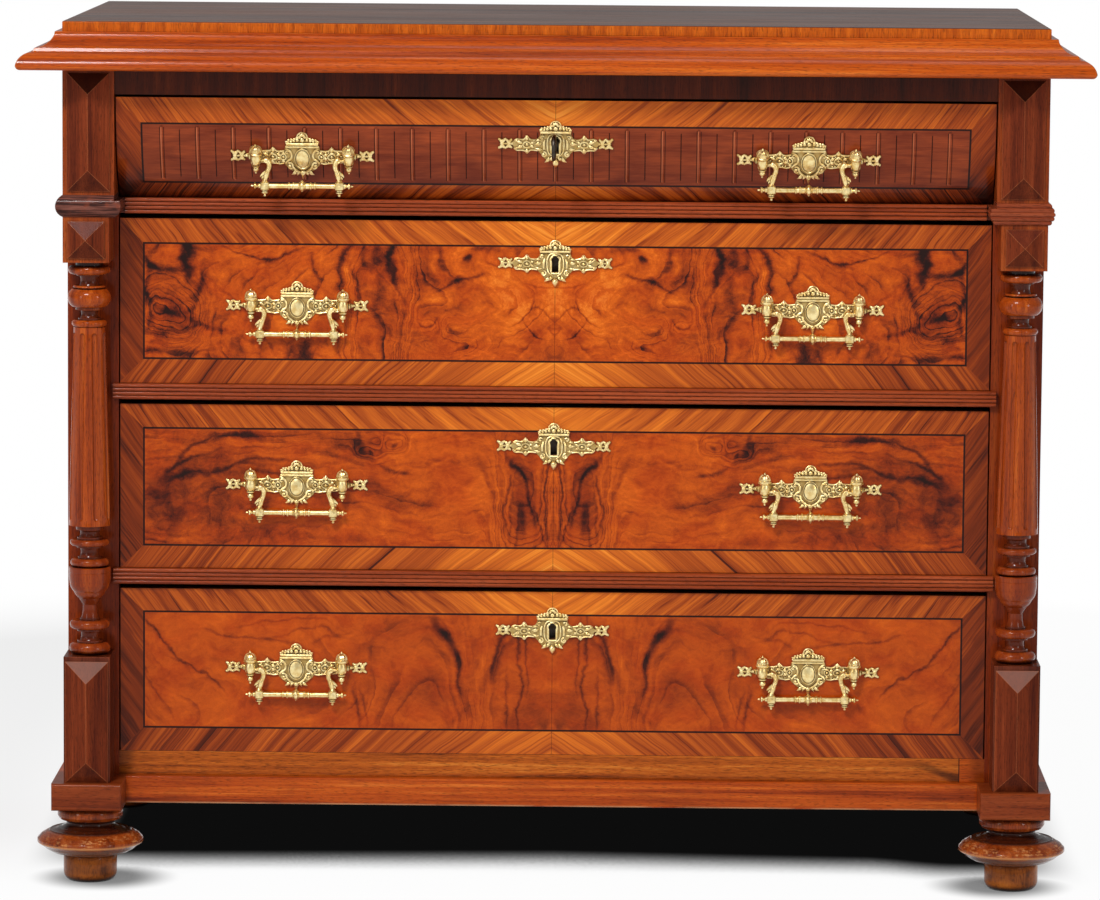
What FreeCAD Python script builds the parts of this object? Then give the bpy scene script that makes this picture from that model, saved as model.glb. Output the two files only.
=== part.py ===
"""Chest of four drawers with turned corner columns, bun feet and cast brass pulls.

Millimetres. +Z is up, the drawers open towards -Y, and the origin lies on the
floor under the middle of the chest. Every piece is a solid of its own.
"""
import FreeCAD, Part
import math
import os

V = FreeCAD.Vector
os.makedirs("parts", exist_ok=True)

# ---------------------------------------------------------------- overall sizes
WIDTH = 1160.0                # over the cornice
DEPTH = 595.0                 # cornice nose to back
CORNICE_REACH = 46.5          # cornice beyond the body, at the front and both sides
COLUMN_RECESS = 56.0          # lower drawer fronts behind the frieze

# ---------------------------------------------------------------- heights, floor upwards
DRAWERS = 4
FOOT_HEIGHT = 82.0
PLINTH_HEIGHT = 30.0
BOTTOM_RAIL_HEIGHT = 26.5
DRAWER_HEIGHT = 181.0         # front of each of the three deep drawers
FRIEZE_DRAWER_HEIGHT = 112.0  # front of the shallow top drawer
RAIL_HEIGHT = 17.2
DRAWER_HEADROOM = 6.0         # rail to rail opening less the drawer front
FRIEZE_HEADROOM = 3.0
FRIEZE_RAIL_HEIGHT = 68.0
SLAB_THICKNESS = 11.0
CORNICE_HEIGHT = 40.5

# ---------------------------------------------------------------- cornice section
# reach beyond the body and drop below its top: flat, hollow and small step
CORNICE_STEPS = [(7.3, 0), (7.8, 3), (27.5, 17, -3.6), (29, 20.5), (31, 21.5)]
NOSE_HEIGHT = 5.0
NOSE_UNDERCUT = 4.5
NOSE_ROUND = 3.6
NOSE_LOWER_ROUND = 1.2

# ---------------------------------------------------------------- carcase
STILE_WIDTH = 56.0
STILE_THICKNESS = 24.0
SIDE_THICKNESS = 18.0
BACK_THICKNESS = 10.0
BOARD_THICKNESS = 18.0        # bottom board and board under the top
RAIL_DEPTH = 90.0
FRIEZE_RAIL_THICKNESS = 40.0
FRIEZE_RAIL_SETBACK = 3.0
RUNNER_WIDTH = 60.0
GUIDE_HEIGHT = 25.0
STOP_LENGTH = 40.0
STOP_WIDTH = 20.0
STOP_HEIGHT = 8.0
STOP_INSET = 177.5            # from the edge of the opening to the middle of a stop
EDGE_ROUND = 1.5

# ---------------------------------------------------------------- plinth and feet
PLINTH_REACH = 13.0           # plinth beyond the body at the sides
PLINTH_FRONT_REACH = 12.0
PLINTH_BLOCK = 77.0
PLINTH_BOARD = 20.0
PLINTH_ROUND = 3.0
FOOT_PAD_RADIUS = 29.8
FOOT_PAD_ROUND = 3.0
# radius and height, from the plinth down: the foot above its pad, as turned
FOOT_TURNING = [(29.8, -59.5), (27.8, -57.5), (50, -50.5), (58, -40.5, -2), (54.5, -32, -1),
                (43.4, -29.5), (43.4, -24.5), (29, -19.5, -1.2), (26.6, -16.5, 0.8), (30, -15.5),
                (33.8, -8, -1.4), (30, 0, -1.4)]
FOOT_INSET = 0.5              # back feet inside the back of the chest
APRON_PROUD = 10.0            # apron in front of the drawer fronts

# ---------------------------------------------------------------- corner columns
AXIS_FROM_SIDE = 26.5         # column and foot axis from the side of the body
BLOCK_WIDTH = 50.5
PEDESTAL_HEIGHT = 139.0
CAPITAL_HEIGHT = 49.7
COLLAR_HEIGHT = 24.0
COLLAR_BULGE = 7.5
COLLAR_DROP = 1.0             # collar below the underside of the top drawer's rail
SHAFT_TOP_RADIUS = 17.3
SHAFT_BOTTOM_RADIUS = 23.0
COLUMN_FLUTES = 8
FLUTE_RADIUS = 3.4
FLUTE_DEPTH = 2.0
FLUTE_MARGIN = 9.0            # plain wood above and below each flute
NECK_HOLLOW = 1.5
RING_ROUND = 5.0              # largest rounding of a turned ring's edge
# turned elements as (height, radius, shape), from the pedestal up
TURNINGS_BELOW = [(13.0, 22.6, "round"), (2.5, 14.0, "flat"), (10.0, 9.8, "neck"),
                  (2.5, 14.0, "flat"), (9.8, 22.1, "round"), (2.3, 11.0, "flat")]
URN = [(9.6, 0), (8, 14.5, 0.6), (12.5, 21.5), (17.9, 29, -0.6), (22.2, 40, -1.2), (22.8, 50.5, -0.5),
       (23.1, 51), (23.1, 55.5), (21.8, 56.5)]
TURNINGS_ABOVE_URN = [(9.4, 21.3, "round"), (1.8, 13.0, "flat"), (10.0, 10.0, "neck"),
                      (2.2, 14.5, "flat"), (7.0, 21.7, "round"), (2.5, 14.0, "flat"),
                      (8.0, 10.6, "neck"), (5.0, 15.2, "flat")]
TURNINGS_ABOVE_SHAFT = [(8.0, 19.3, "round"), (2.0, 12.5, "flat"), (8.8, 9.1, "neck"),
                        (3.4, 15.3, "flat"), (19.5, 23.9, "round"), (0.8, 13.0, "flat"),
                        (3.0, 17.7, "round"), (10.5, 9.7, "neck"), (1.6, 14.0, "flat"),
                        (9.8, 23.2, "round"), (4.5, 15.0, "flat")]

# ---------------------------------------------------------------- applied hipped panels
PANEL_BASE = 2.0
PANEL_RISE = 9.0
POST_PANEL_INSET = 4.75       # each side of a panel, from the edge of its post or block
CAPITAL_PANEL_INSET = 5.0
PEDESTAL_PANEL_INSET = 1.75
PANEL_MARGIN = 4.0            # above and below a post's panel
PEDESTAL_PANEL_MARGIN = 5.0   # pedestal top to its panel

# ---------------------------------------------------------------- reeded mouldings
STRIP_THICKNESS = 8.0
STRIP_REACH = 6.0             # moulding over the stile, beyond the opening
RAIL_REED_COUNT = 4
COLLAR_REED_COUNT = 5
REED_RISE = 1.7

# ---------------------------------------------------------------- drawers
SIDE_GAP = 1.5                # each side of a drawer
SLIDE_GAP = 0.3               # under a drawer, on its runners
FRONT_THICKNESS = 22.0
BOW_THICKNESS = 26.0          # curved front of the top drawer
BOW_SETBACK = 3.0             # top edge of the curved front behind the posts
DRAWER_BACK_GAP = 10.5        # drawer's back end to the back panel
DRAWER_SIDE = 12.0
SIDE_DROP = 14.0              # drawer sides lower than the front
BACK_DROP = 12.0              # drawer back lower than the sides
BOTTOM_THICKNESS = 8.0
BOTTOM_RAISE = 10.0           # drawer bottom above the lower edge
GROOVE_DEPTH = 4.0
FRONT_GROOVE = 6.0
TAILS = 4
TAIL_LENGTH = 14.0
TAIL_FLARE = 3.0
PIN_WIDTH = 9.0

# ---------------------------------------------------------------- fluted face of the top drawer
FLUTES = 23
FACE_FLUTE_INSET = 49.2       # from the drawer's ends to the middle of the outer flutes
FACE_FLUTE_WIDTH = 4.2
FACE_FLUTE_DEPTH = 1.3
FACE_FLUTE_TOP = 32.5         # below the top edge
FACE_FLUTE_BOTTOM = 89.5
LINE_WIDTH = 0.9
LINE_DEPTH = 0.8
LINE_SHORTER = 2.5

# ---------------------------------------------------------------- locks and key
LOCK_WIDTH = 66.0
LOCK_HEIGHT = 58.0
LOCK_THICKNESS = 11.0
LOCK_PLATE = 1.5
SELVEDGE = 3.0
BOLT_WIDTH = 24.0
BOLT_THICKNESS = 6.0
BOLT_HEIGHT = 30.0
BOLT_THROW = 11.0
BOLT_GAP = 0.3
MORTISE_MARGIN = 1.0
MORTISE_EXTRA = 3.0
BOW_LOCK_DEPTH = 24.0         # curved front's top edge to the lock let into its back
KEYHOLE_ROUND = 4.2
KEYHOLE_SLOT = 6.6
KEYHOLE_HEIGHT = 17.6
KEYHOLE_DROPS = (48.0, 46.5, 43.5, 43.5)   # keyhole below each drawer's top edge
KEY_DROOP = 7.0               # degrees, how the loose key hangs in the worn lock
KEY_LEAN = 1.5
SHANK_RADIUS = 2.3
SHANK_LENGTH = 39.0
BIT_LENGTH = 9.0
BIT_THICKNESS = 2.6
BIT_WIDTH = 4.6
KEY_COLLAR_RADIUS = 4.0
KEY_COLLAR_PLACE = 29.0
KEY_COLLAR_WIDTH = 3.0
KEY_BOW_RADIUS = 12.3
KEY_BOW_WIRE = 2.2
KEY_END_GAP = 1.0             # shank's end to the back of the lock case

# ---------------------------------------------------------------- brass pulls
PULL_INSETS = (201.5, 194.0, 194.0, 194.0)     # from each drawer's ends to the middle of its pulls
PULL_HEIGHTS = (46.9, 82.0, 89.6, 91.7)        # above each drawer's lower edge
PLATE_THICKNESS = 2.5
BOSS_HALF_WIDTH = 6.6
BOSS_HALF_HEIGHT = 9.6
BOSS_PROUD = 2.0
POST_PLACE = 50.4             # urn-shaped posts from the middle of a pull
POST_STAND = 8.5              # post axis in front of the wood
POST_RADIUS = 7.2
PIVOT_RISE = 1.5              # hinge line above the middle of the plate
PIN_RADIUS = 1.5
PIN_GAP = 0.3
PIN_DEPTH = 4.0
BAIL_DROP = 31.0              # bar below the hinge line
ARM_RADIUS = 2.5
EYE_RADIUS = 3.1
ARM_TOP_PLACE = 39.8
ARM_WAIST_PLACE = 36.6
ARM_WAIST_DROP = 9.5
BLOCK_PLACE = 40.4
BAIL_BLOCK = 8.8
# radius and place along half of the turned bar: knob, ring, taper and button end
BAR_TURNING = [(0, 0), (7, 0), (7, 1.8), (3.2, 2.8), (3.2, 8.3), (5, 8.3), (5, 10.7), (3.8, 10.7),
               (2.7, 40.4), (1.8, 48.5), (3.7, 50.5), (3.7, 52), (1.2, 53), (0.8, 55.5), (0, 55.5)]
# radius and height of the drop under a block, whose underside is 0
DROP_TURNING = [(0, -7), (1.6, -6, -0.5), (1.2, -4.5), (3.9, -3.4), (3.9, -2), (1.6, -1), (1.6, 1), (0, 1)]
# Right-hand half of each cast plate's outline, from its crown down to its pendant.
PULL_OUTLINE = [(0, 28.6), (4.2, 26.5), (18.3, 15.5), (18.3, 13.2), (15.5, 12.2), (17.5, 8.7),
                (29.5, 8.7), (32.5, 11.8), (35.5, 8.7), (46, 8.7), (58, 4.0), (62.5, 1.8),
                (67, 5.6), (70.5, 2.2), (76.5, 6.2), (77.5, 0), (76.5, -6.2), (70.5, -2.2),
                (67, -5.0), (62.5, -1.8), (58, -4.0), (46, -4.6), (24, -4.8), (17.5, -7.5),
                (14.5, -12.5), (11.5, -16.8), (4.5, -15.8), (0, -20.8)]
KEYHOLE_OUTLINE = [(0, 26.3), (4.0, 24.5), (16.6, 14.6), (16.6, 12.4), (14.2, 11.5), (16.5, 7.0),
                   (23.5, 5.6), (28, 6.2), (31, 10.4), (34, 6.2), (44, 5.4), (45.8, 1.8), (50, 5.4),
                   (53.5, 2.0), (60, 6.0), (61.5, 0), (60, -6.0), (53.5, -2.0), (50, -5.0),
                   (45.8, -1.8), (44, -6.4), (34, -6.8), (31, -9.6), (28, -6.8), (21.5, -6.0),
                   (16.8, -9.0), (14, -13.5), (11.0, -18.4), (4.5, -17.2), (0, -24.6)]
URN_PROFILE = [(0, -14), (1.4, -12.6, -0.8), (4.2, -9.8), (1.9, -8), (5.4, -5), (POST_RADIUS, 1, -1.2),
               (6.2, 6.2, -0.6), (8.2, 8.6), (8.2, 10.2), (6.2, 12.8), (3.4, 16.2, -0.8), (0, 19.6)]

# ---------------------------------------------------------------- worked-out planes and levels
NEAR = 0.1                    # how close to a plane counts as on it
BODY_HALF = WIDTH / 2 - CORNICE_REACH
OPENING_HALF = BODY_HALF - STILE_WIDTH
SIDE_INNER = BODY_HALF - SIDE_THICKNESS
FRIEZE_Y = -DEPTH / 2 + CORNICE_REACH
FACE_Y = FRIEZE_Y + COLUMN_RECESS
STILE_BACK_Y = FACE_Y + STILE_THICKNESS
BACK_Y = DEPTH / 2
BACK_INNER_Y = BACK_Y - BACK_THICKNESS
AXIS_X = BODY_HALF - AXIS_FROM_SIDE
AXIS_Y = (FRIEZE_Y + FACE_Y) / 2

PLINTH_TOP = FOOT_HEIGHT + PLINTH_HEIGHT
DRAWER_PITCH = DRAWER_HEIGHT + DRAWER_HEADROOM + RAIL_HEIGHT
LOWEST_FLOOR = PLINTH_TOP + BOTTOM_RAIL_HEIGHT
# running surface under each drawer, the top drawer first
FLOORS = [LOWEST_FLOOR + DRAWER_PITCH * level for level in reversed(range(DRAWERS))]
FRONT_HEIGHTS = [FRIEZE_DRAWER_HEIGHT] + [DRAWER_HEIGHT] * (DRAWERS - 1)
HEADROOMS = [FRIEZE_HEADROOM] + [DRAWER_HEADROOM] * (DRAWERS - 1)
FRIEZE_RAIL_BOTTOM = FLOORS[0] + FRIEZE_DRAWER_HEIGHT + FRIEZE_HEADROOM
CARCASE_TOP = FRIEZE_RAIL_BOTTOM + FRIEZE_RAIL_HEIGHT
HEIGHT = CARCASE_TOP + SLAB_THICKNESS

COLLAR_BOTTOM = FLOORS[0] - RAIL_HEIGHT - COLLAR_DROP
COLLAR_TOP = COLLAR_BOTTOM + COLLAR_HEIGHT
CAPITAL_BOTTOM = COLLAR_BOTTOM - CAPITAL_HEIGHT
PEDESTAL_TOP = PLINTH_TOP + PEDESTAL_HEIGHT
BLOCK_INNER = BODY_HALF - BLOCK_WIDTH

DRAWER_HALF = OPENING_HALF - SIDE_GAP
DRAWER_INNER = DRAWER_HALF - DRAWER_SIDE
FRONT_BACK_Y = FACE_Y + FRONT_THICKNESS
DRAWER_END_Y = BACK_INNER_Y - DRAWER_BACK_GAP
TAIL_END_Y = FRONT_BACK_Y - TAIL_LENGTH

# the curved front is an arc that is upright at its top edge
BOW_TOP_Y = FRIEZE_Y + BOW_SETBACK
BOW_DEPTH = FACE_Y - BOW_TOP_Y
BOW_RADIUS = (BOW_DEPTH ** 2 + FRIEZE_DRAWER_HEIGHT ** 2) / (2 * BOW_DEPTH)
BOW_INNER_RADIUS = BOW_RADIUS - BOW_THICKNESS
BOW_CENTRE_Y = BOW_TOP_Y + BOW_RADIUS
BOW_CENTRE_Z = FLOORS[0] + SLIDE_GAP + FRIEZE_DRAWER_HEIGHT


# ---------------------------------------------------------------- helpers
def box(x0, x1, y0, y1, z0, z1):
    """A board between two corners."""
    return Part.makeBox(x1 - x0, y1 - y0, z1 - z0, V(x0, y0, z0))


def group(*shapes):
    """Separate solids in one node."""
    return Part.makeCompound(list(shapes))


def mirrored(shape):
    """The same piece for the other side of the chest."""
    return shape.mirror(V(0, 0, 0), V(1, 0, 0))


def pair(shape):
    return group(shape, mirrored(shape))


def across(a, b):
    """A sketch plane looked at from the side of the chest: depth, height."""
    return V(0, a, b)


def facing(a, b):
    """A sketch plane looked at from the front: width, height."""
    return V(a, 0, b)


def lying(a, b):
    """A sketch plane looked at from above: width, depth."""
    return V(a, b, 0)


def face(plane, points):
    """A flat face. A point's third number is the rise of an arc that leads to it."""
    edges = []
    for here, there in zip(points[-1:] + points[:-1], points):
        start, end = plane(*here[:2]), plane(*there[:2])
        if len(there) == 2:
            edges.append(Part.LineSegment(start, end).toShape())
            continue
        run_a, run_b = there[0] - here[0], there[1] - here[1]
        lift = there[2] / math.hypot(run_a, run_b)
        through = plane((here[0] + there[0]) / 2 - run_b * lift, (here[1] + there[1]) / 2 + run_a * lift)
        edges.append(Part.Arc(start, through, end).toShape())
    return Part.Face(Part.Wire(edges))


def sagitta(radius, here, there):
    """How far an arc of this radius rises over the chord between two points."""
    half = math.dist(here, there) / 2
    return radius - math.sqrt(radius ** 2 - half ** 2)


def turned(points, x=0.0, y=0.0, z=0.0):
    """A piece turned on the lathe from a profile of (radius, height) points."""
    spun = face(facing, points).revolve(V(0, 0, 0), V(0, 0, 1), 360)
    spun.translate(V(x, y, z))
    return spun


def softened(shape, radius, pick):
    """Rounds the edges that pick chooses by their middle point."""
    chosen = [edge for edge in shape.Edges if pick(edge.CenterOfMass)]
    return shape.makeFillet(radius, chosen)


def reeds(count, low, high, rise):
    """Points up a reeded face: a row of small round reeds, as (height, rise) pairs."""
    step = (high - low) / count
    return [(low + step * (n + 1), rise) for n in range(count)]


# ---------------------------------------------------------------- top and cornice
def top_slab():
    slab = box(-BODY_HALF, BODY_HALF, FRIEZE_Y, BACK_Y, CARCASE_TOP, HEIGHT)
    return softened(slab, EDGE_ROUND, lambda at: at.z > HEIGHT - NEAR and at.y < BACK_Y - NEAR)


def cornice_profile(place):
    """Section of the cornice: flat top, hollow, small step, then a round nose."""
    top, bottom = CARCASE_TOP, CARCASE_TOP - CORNICE_HEIGHT
    points = [(0, bottom), (0, top)]
    points += [(step[0], top - step[1]) + step[2:] for step in CORNICE_STEPS]
    points += [(CORNICE_REACH, bottom + NOSE_HEIGHT, NOSE_ROUND),
               (CORNICE_REACH - NOSE_UNDERCUT, bottom, NOSE_LOWER_ROUND)]
    return [place(point) for point in points]


def cornice_front():
    profile = cornice_profile(lambda p: (FRIEZE_Y - p[0], p[1]) + tuple(-rise for rise in p[2:]))
    run = face(across, profile).extrude(V(WIDTH, 0, 0))
    run.translate(V(-WIDTH / 2, 0, 0))
    mitred = [(-BODY_HALF, FRIEZE_Y), (-WIDTH / 2, FRIEZE_Y - CORNICE_REACH),
              (WIDTH / 2, FRIEZE_Y - CORNICE_REACH), (BODY_HALF, FRIEZE_Y)]
    return run.common(face(lying, mitred).extrude(V(0, 0, HEIGHT)))


def cornice_sides():
    profile = cornice_profile(lambda p: (BODY_HALF + p[0],) + tuple(p[1:]))
    run = face(facing, profile).extrude(V(0, DEPTH, 0))
    run.translate(V(0, -DEPTH / 2, 0))
    mitred = [(BODY_HALF, FRIEZE_Y), (WIDTH / 2, FRIEZE_Y - CORNICE_REACH),
              (WIDTH / 2, BACK_Y), (BODY_HALF, BACK_Y)]
    return pair(run.common(face(lying, mitred).extrude(V(0, 0, HEIGHT))))


# ---------------------------------------------------------------- carcase
def side():
    return box(SIDE_INNER, BODY_HALF, STILE_BACK_Y, BACK_Y, PLINTH_TOP, CARCASE_TOP)


def stiles():
    return pair(box(OPENING_HALF, BODY_HALF, FACE_Y, STILE_BACK_Y, PLINTH_TOP, CARCASE_TOP))


def back_panel():
    return box(-SIDE_INNER, SIDE_INNER, BACK_INNER_Y, BACK_Y, PLINTH_TOP, CARCASE_TOP)


def bottom_board():
    return box(-SIDE_INNER, SIDE_INNER, STILE_BACK_Y, BACK_INNER_Y,
               LOWEST_FLOOR - BOARD_THICKNESS, LOWEST_FLOOR)


def bottom_rail():
    return box(-OPENING_HALF, OPENING_HALF, FACE_Y, STILE_BACK_Y, PLINTH_TOP, LOWEST_FLOOR)


def under_top():
    """The board that the top lies on, narrowed where it runs forward between the posts."""
    low = CARCASE_TOP - BOARD_THICKNESS
    rail_back = FRIEZE_Y + FRIEZE_RAIL_SETBACK + FRIEZE_RAIL_THICKNESS
    wide = box(-SIDE_INNER, SIDE_INNER, STILE_BACK_Y, BACK_INNER_Y, low, CARCASE_TOP)
    narrow = box(-OPENING_HALF, OPENING_HALF, rail_back, STILE_BACK_Y, low, CARCASE_TOP)
    return wide.fuse(narrow).removeSplitter()


def bolt_mortise(lock_y, rail_bottom, headroom):
    """The pocket in a rail's underside that a drawer's lock bolt rises into."""
    half_width = BOLT_WIDTH / 2 + MORTISE_MARGIN
    half_depth = BOLT_THICKNESS / 2 + MORTISE_MARGIN
    depth = BOLT_THROW - headroom + MORTISE_EXTRA
    return box(-half_width, half_width, lock_y - half_depth, lock_y + half_depth,
               rail_bottom, rail_bottom + depth)


def frieze_rail():
    front = FRIEZE_Y + FRIEZE_RAIL_SETBACK
    rail = box(-OPENING_HALF, OPENING_HALF, front, front + FRIEZE_RAIL_THICKNESS,
               FRIEZE_RAIL_BOTTOM, CARCASE_TOP)
    return rail.cut(bolt_mortise(lock_middle_y(0), FRIEZE_RAIL_BOTTOM, HEADROOMS[0]))


def drawer_rails():
    """One rail under each of the three upper drawers, with the mortise for the lock below it."""
    rails = []
    for number in range(DRAWERS - 1):
        top = FLOORS[number]
        rail = box(-OPENING_HALF, OPENING_HALF, FACE_Y, FACE_Y + RAIL_DEPTH, top - RAIL_HEIGHT, top)
        rails.append(rail.cut(bolt_mortise(lock_middle_y(number + 1), top - RAIL_HEIGHT,
                                           HEADROOMS[number + 1])))
    return group(*rails)


def reeded_strips():
    """Reeded mouldings planted on the drawer rails and run over the stiles."""
    strips = []
    for number in range(DRAWERS - 1):
        top = FLOORS[number]
        # the highest strip stops against the collars, the others against the columns' line
        half = OPENING_HALF - COLLAR_BULGE if number == 0 else OPENING_HALF + STRIP_REACH
        root = FACE_Y - STRIP_THICKNESS + REED_RISE
        points = [(FACE_Y, top), (FACE_Y, top - RAIL_HEIGHT), (root, top - RAIL_HEIGHT)]
        for height, rise in reeds(RAIL_REED_COUNT, top - RAIL_HEIGHT, top, REED_RISE):
            points.append((root, height, rise))
        strip = face(across, points).extrude(V(2 * half, 0, 0))
        strip.translate(V(-half, 0, 0))
        strips.append(strip)
    return group(*strips)


def drawer_runners():
    """Bearers under the ends of the three upper drawers; the lowest runs on the bottom board."""
    pieces = []
    for number in range(DRAWERS - 1):
        top = FLOORS[number]
        runner = box(SIDE_INNER - RUNNER_WIDTH, SIDE_INNER, FACE_Y + RAIL_DEPTH, BACK_INNER_Y,
                     top - RAIL_HEIGHT, top)
        pieces += [runner, mirrored(runner)]
    return group(*pieces)


def drawer_guides():
    """Fillets that fill the space between a drawer and the side, so that it runs straight."""
    pieces = []
    for top in FLOORS:
        guide = box(OPENING_HALF, SIDE_INNER, STILE_BACK_Y, BACK_INNER_Y, top, top + GUIDE_HEIGHT)
        pieces += [guide, mirrored(guide)]
    return group(*pieces)


def drawer_stops():
    """Small blocks that catch the back of each drawer front when the drawer is shut."""
    pieces = []
    near = FRONT_BACK_Y + SLIDE_GAP
    place = OPENING_HALF - STOP_INSET
    for top in FLOORS:
        stop = box(place - STOP_LENGTH / 2, place + STOP_LENGTH / 2,
                   near, near + STOP_WIDTH, top, top + STOP_HEIGHT)
        pieces += [stop, mirrored(stop)]
    return group(*pieces)


# ---------------------------------------------------------------- plinth and feet
def plinth_blocks():
    """Corner blocks of the plinth, which the feet are dowelled into."""
    outer = BODY_HALF + PLINTH_REACH
    blocks = []
    for near in (FRIEZE_Y - PLINTH_FRONT_REACH, BACK_Y - PLINTH_BLOCK):
        block = box(outer - PLINTH_BLOCK, outer, near, near + PLINTH_BLOCK, FOOT_HEIGHT, PLINTH_TOP)
        if near < 0:
            block = softened(block, PLINTH_ROUND, lambda at: at.y < near + NEAR)
        blocks += [block, mirrored(block)]
    return group(*blocks)


def apron():
    inner = BODY_HALF + PLINTH_REACH - PLINTH_BLOCK
    front = FACE_Y - APRON_PROUD
    board = box(-inner, inner, front, front + PLINTH_BOARD, FOOT_HEIGHT, PLINTH_TOP)
    return softened(board, EDGE_ROUND, lambda at: at.y < front + NEAR and abs(at.x) < NEAR)


def plinth_boards():
    """Side boards and back board of the plinth, between the corner blocks."""
    outer = BODY_HALF + PLINTH_REACH
    inner = outer - PLINTH_BLOCK
    run = box(outer - PLINTH_BOARD, outer, FRIEZE_Y - PLINTH_FRONT_REACH + PLINTH_BLOCK,
              BACK_Y - PLINTH_BLOCK, FOOT_HEIGHT, PLINTH_TOP)
    back = box(-inner, inner, BACK_Y - PLINTH_BOARD, BACK_Y, FOOT_HEIGHT, PLINTH_TOP)
    return group(run, mirrored(run), back)


def foot(y):
    """A turned bun foot: pad, cushion, broad disc, hollow and a short cushion under the plinth."""
    profile = [(0, 0), (FOOT_PAD_RADIUS - FOOT_PAD_ROUND, 0),
               (FOOT_PAD_RADIUS, FOOT_PAD_ROUND, -FOOT_PAD_ROUND / 4)]
    profile += [(point[0], FOOT_HEIGHT + point[1]) + point[2:] for point in FOOT_TURNING]
    return turned(profile + [(0, FOOT_HEIGHT)], AXIS_X, y)


def feet():
    """Front feet stand under the columns, back feet just inside the back."""
    widest = max(point[0] for point in FOOT_TURNING)
    right = [foot(AXIS_Y), foot(BACK_Y - FOOT_INSET - widest)]
    return group(*right, *[mirrored(each) for each in right])


# ---------------------------------------------------------------- corner columns
def hipped_panel(middle, width, low, high, plane_y):
    """An applied panel with a ridge down the middle and hips at both ends."""
    half = width / 2
    base, crest = plane_y - PANEL_BASE, plane_y - PANEL_BASE - PANEL_RISE
    across_it = face(lying, [(middle - half, plane_y), (middle - half, base), (middle, crest),
                             (middle + half, base), (middle + half, plane_y)])
    ridge = [(crest, low + half)]
    if high - low > width + NEAR:
        ridge.append((crest, high - half))
    up_it = face(across, [(plane_y, low), (base, low)] + ridge + [(base, high), (plane_y, high)])
    prism = up_it.extrude(V(width, 0, 0))
    prism.translate(V(middle - half, 0, 0))
    return across_it.extrude(V(0, 0, HEIGHT)).common(prism)


def applied_panels():
    post_middle = (OPENING_HALF + BODY_HALF) / 2
    block_middle = (BLOCK_INNER + BODY_HALF) / 2
    cornice_bottom = CARCASE_TOP - CORNICE_HEIGHT
    capital_middle = CAPITAL_BOTTOM + CAPITAL_HEIGHT / 2
    pyramid = BLOCK_WIDTH - 2 * CAPITAL_PANEL_INSET
    panels = [hipped_panel(post_middle, STILE_WIDTH - 2 * POST_PANEL_INSET, COLLAR_TOP + PANEL_MARGIN,
                           cornice_bottom - PANEL_MARGIN, FRIEZE_Y),
              hipped_panel(block_middle, pyramid, capital_middle - pyramid / 2,
                           capital_middle + pyramid / 2, FRIEZE_Y),
              hipped_panel(block_middle, BLOCK_WIDTH - 2 * PEDESTAL_PANEL_INSET, PLINTH_TOP,
                           PEDESTAL_TOP - PEDESTAL_PANEL_MARGIN, FRIEZE_Y)]
    return group(*panels, *[mirrored(panel) for panel in panels])


def frieze_posts():
    return pair(box(OPENING_HALF, BODY_HALF, FRIEZE_Y, FACE_Y, COLLAR_TOP, CARCASE_TOP))


def collar(reed_count):
    """A moulded collar round three sides of a post, worn smooth or still reeded."""
    low, high = COLLAR_BOTTOM, COLLAR_TOP
    front, inner, outer = FRIEZE_Y, OPENING_HALF, BODY_HALF
    if reed_count:
        swell = COLLAR_BULGE - REED_RISE
        steps = reeds(reed_count, low, high, REED_RISE)
        # the reeds lie on a gentle curve that is fullest at mid-height
        reach = [0.0] + [swell * math.sin(math.pi * (h - low) / (high - low)) for h, _ in steps[:-1]] + [0.0]
        edge = [(low, reach[0])] + [(h, r, REED_RISE) for (h, _), r in zip(steps, reach[1:])]
    else:
        edge = [(low, 0.0), (high, 0.0, COLLAR_BULGE)]
    ahead = [(FACE_Y, high), (FACE_Y, low)]
    for step in edge:
        ahead.append((front - step[1], step[0]) + tuple(step[2:]))
    sideways = [(inner - edge[0][1], low)]
    sideways += [(inner - step[1], step[0]) + tuple(step[2:]) for step in edge[1:]]
    sideways += [(outer + edge[-1][1], high)]
    for step, last in zip(edge[-2::-1], edge[:0:-1]):
        sideways.append((outer + step[1], step[0]) + tuple(last[2:]))
    long_way = face(across, ahead).extrude(V(WIDTH, 0, 0))
    deep_way = face(facing, sideways).extrude(V(0, DEPTH, 0))
    deep_way.translate(V(0, -DEPTH / 2, 0))
    whole = long_way.common(deep_way)
    # the inner return is notched where the top drawer passes over it
    notch = box(0, OPENING_HALF, -DEPTH, BACK_Y, FLOORS[0], HEIGHT)
    return whole.cut(notch)


def collars():
    """The left collar is worn smooth and the right one keeps its reeds."""
    return group(mirrored(collar(0)), collar(COLLAR_REED_COUNT))


def capital_blocks():
    return pair(box(BLOCK_INNER, BODY_HALF, FRIEZE_Y, FACE_Y, CAPITAL_BOTTOM, COLLAR_BOTTOM))


def pedestals():
    return pair(box(BLOCK_INNER, BODY_HALF, FRIEZE_Y, FACE_Y, PLINTH_TOP, PEDESTAL_TOP))


def turnings(steps, start):
    """Profile points for turned elements: half-round rings, flat bands and hollow necks."""
    points, z = [], start
    for height, radius, shape in steps:
        if shape == "flat":
            points += [(radius, z), (radius, z + height)]
        elif shape == "neck":
            points += [(radius + NECK_HOLLOW, z), (radius + NECK_HOLLOW, z + height, NECK_HOLLOW)]
        else:
            rise = min(height / 2, RING_ROUND)
            points += [(radius - rise, z), (radius - rise, z + height, -rise)]
        z += height
    return points, z


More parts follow.
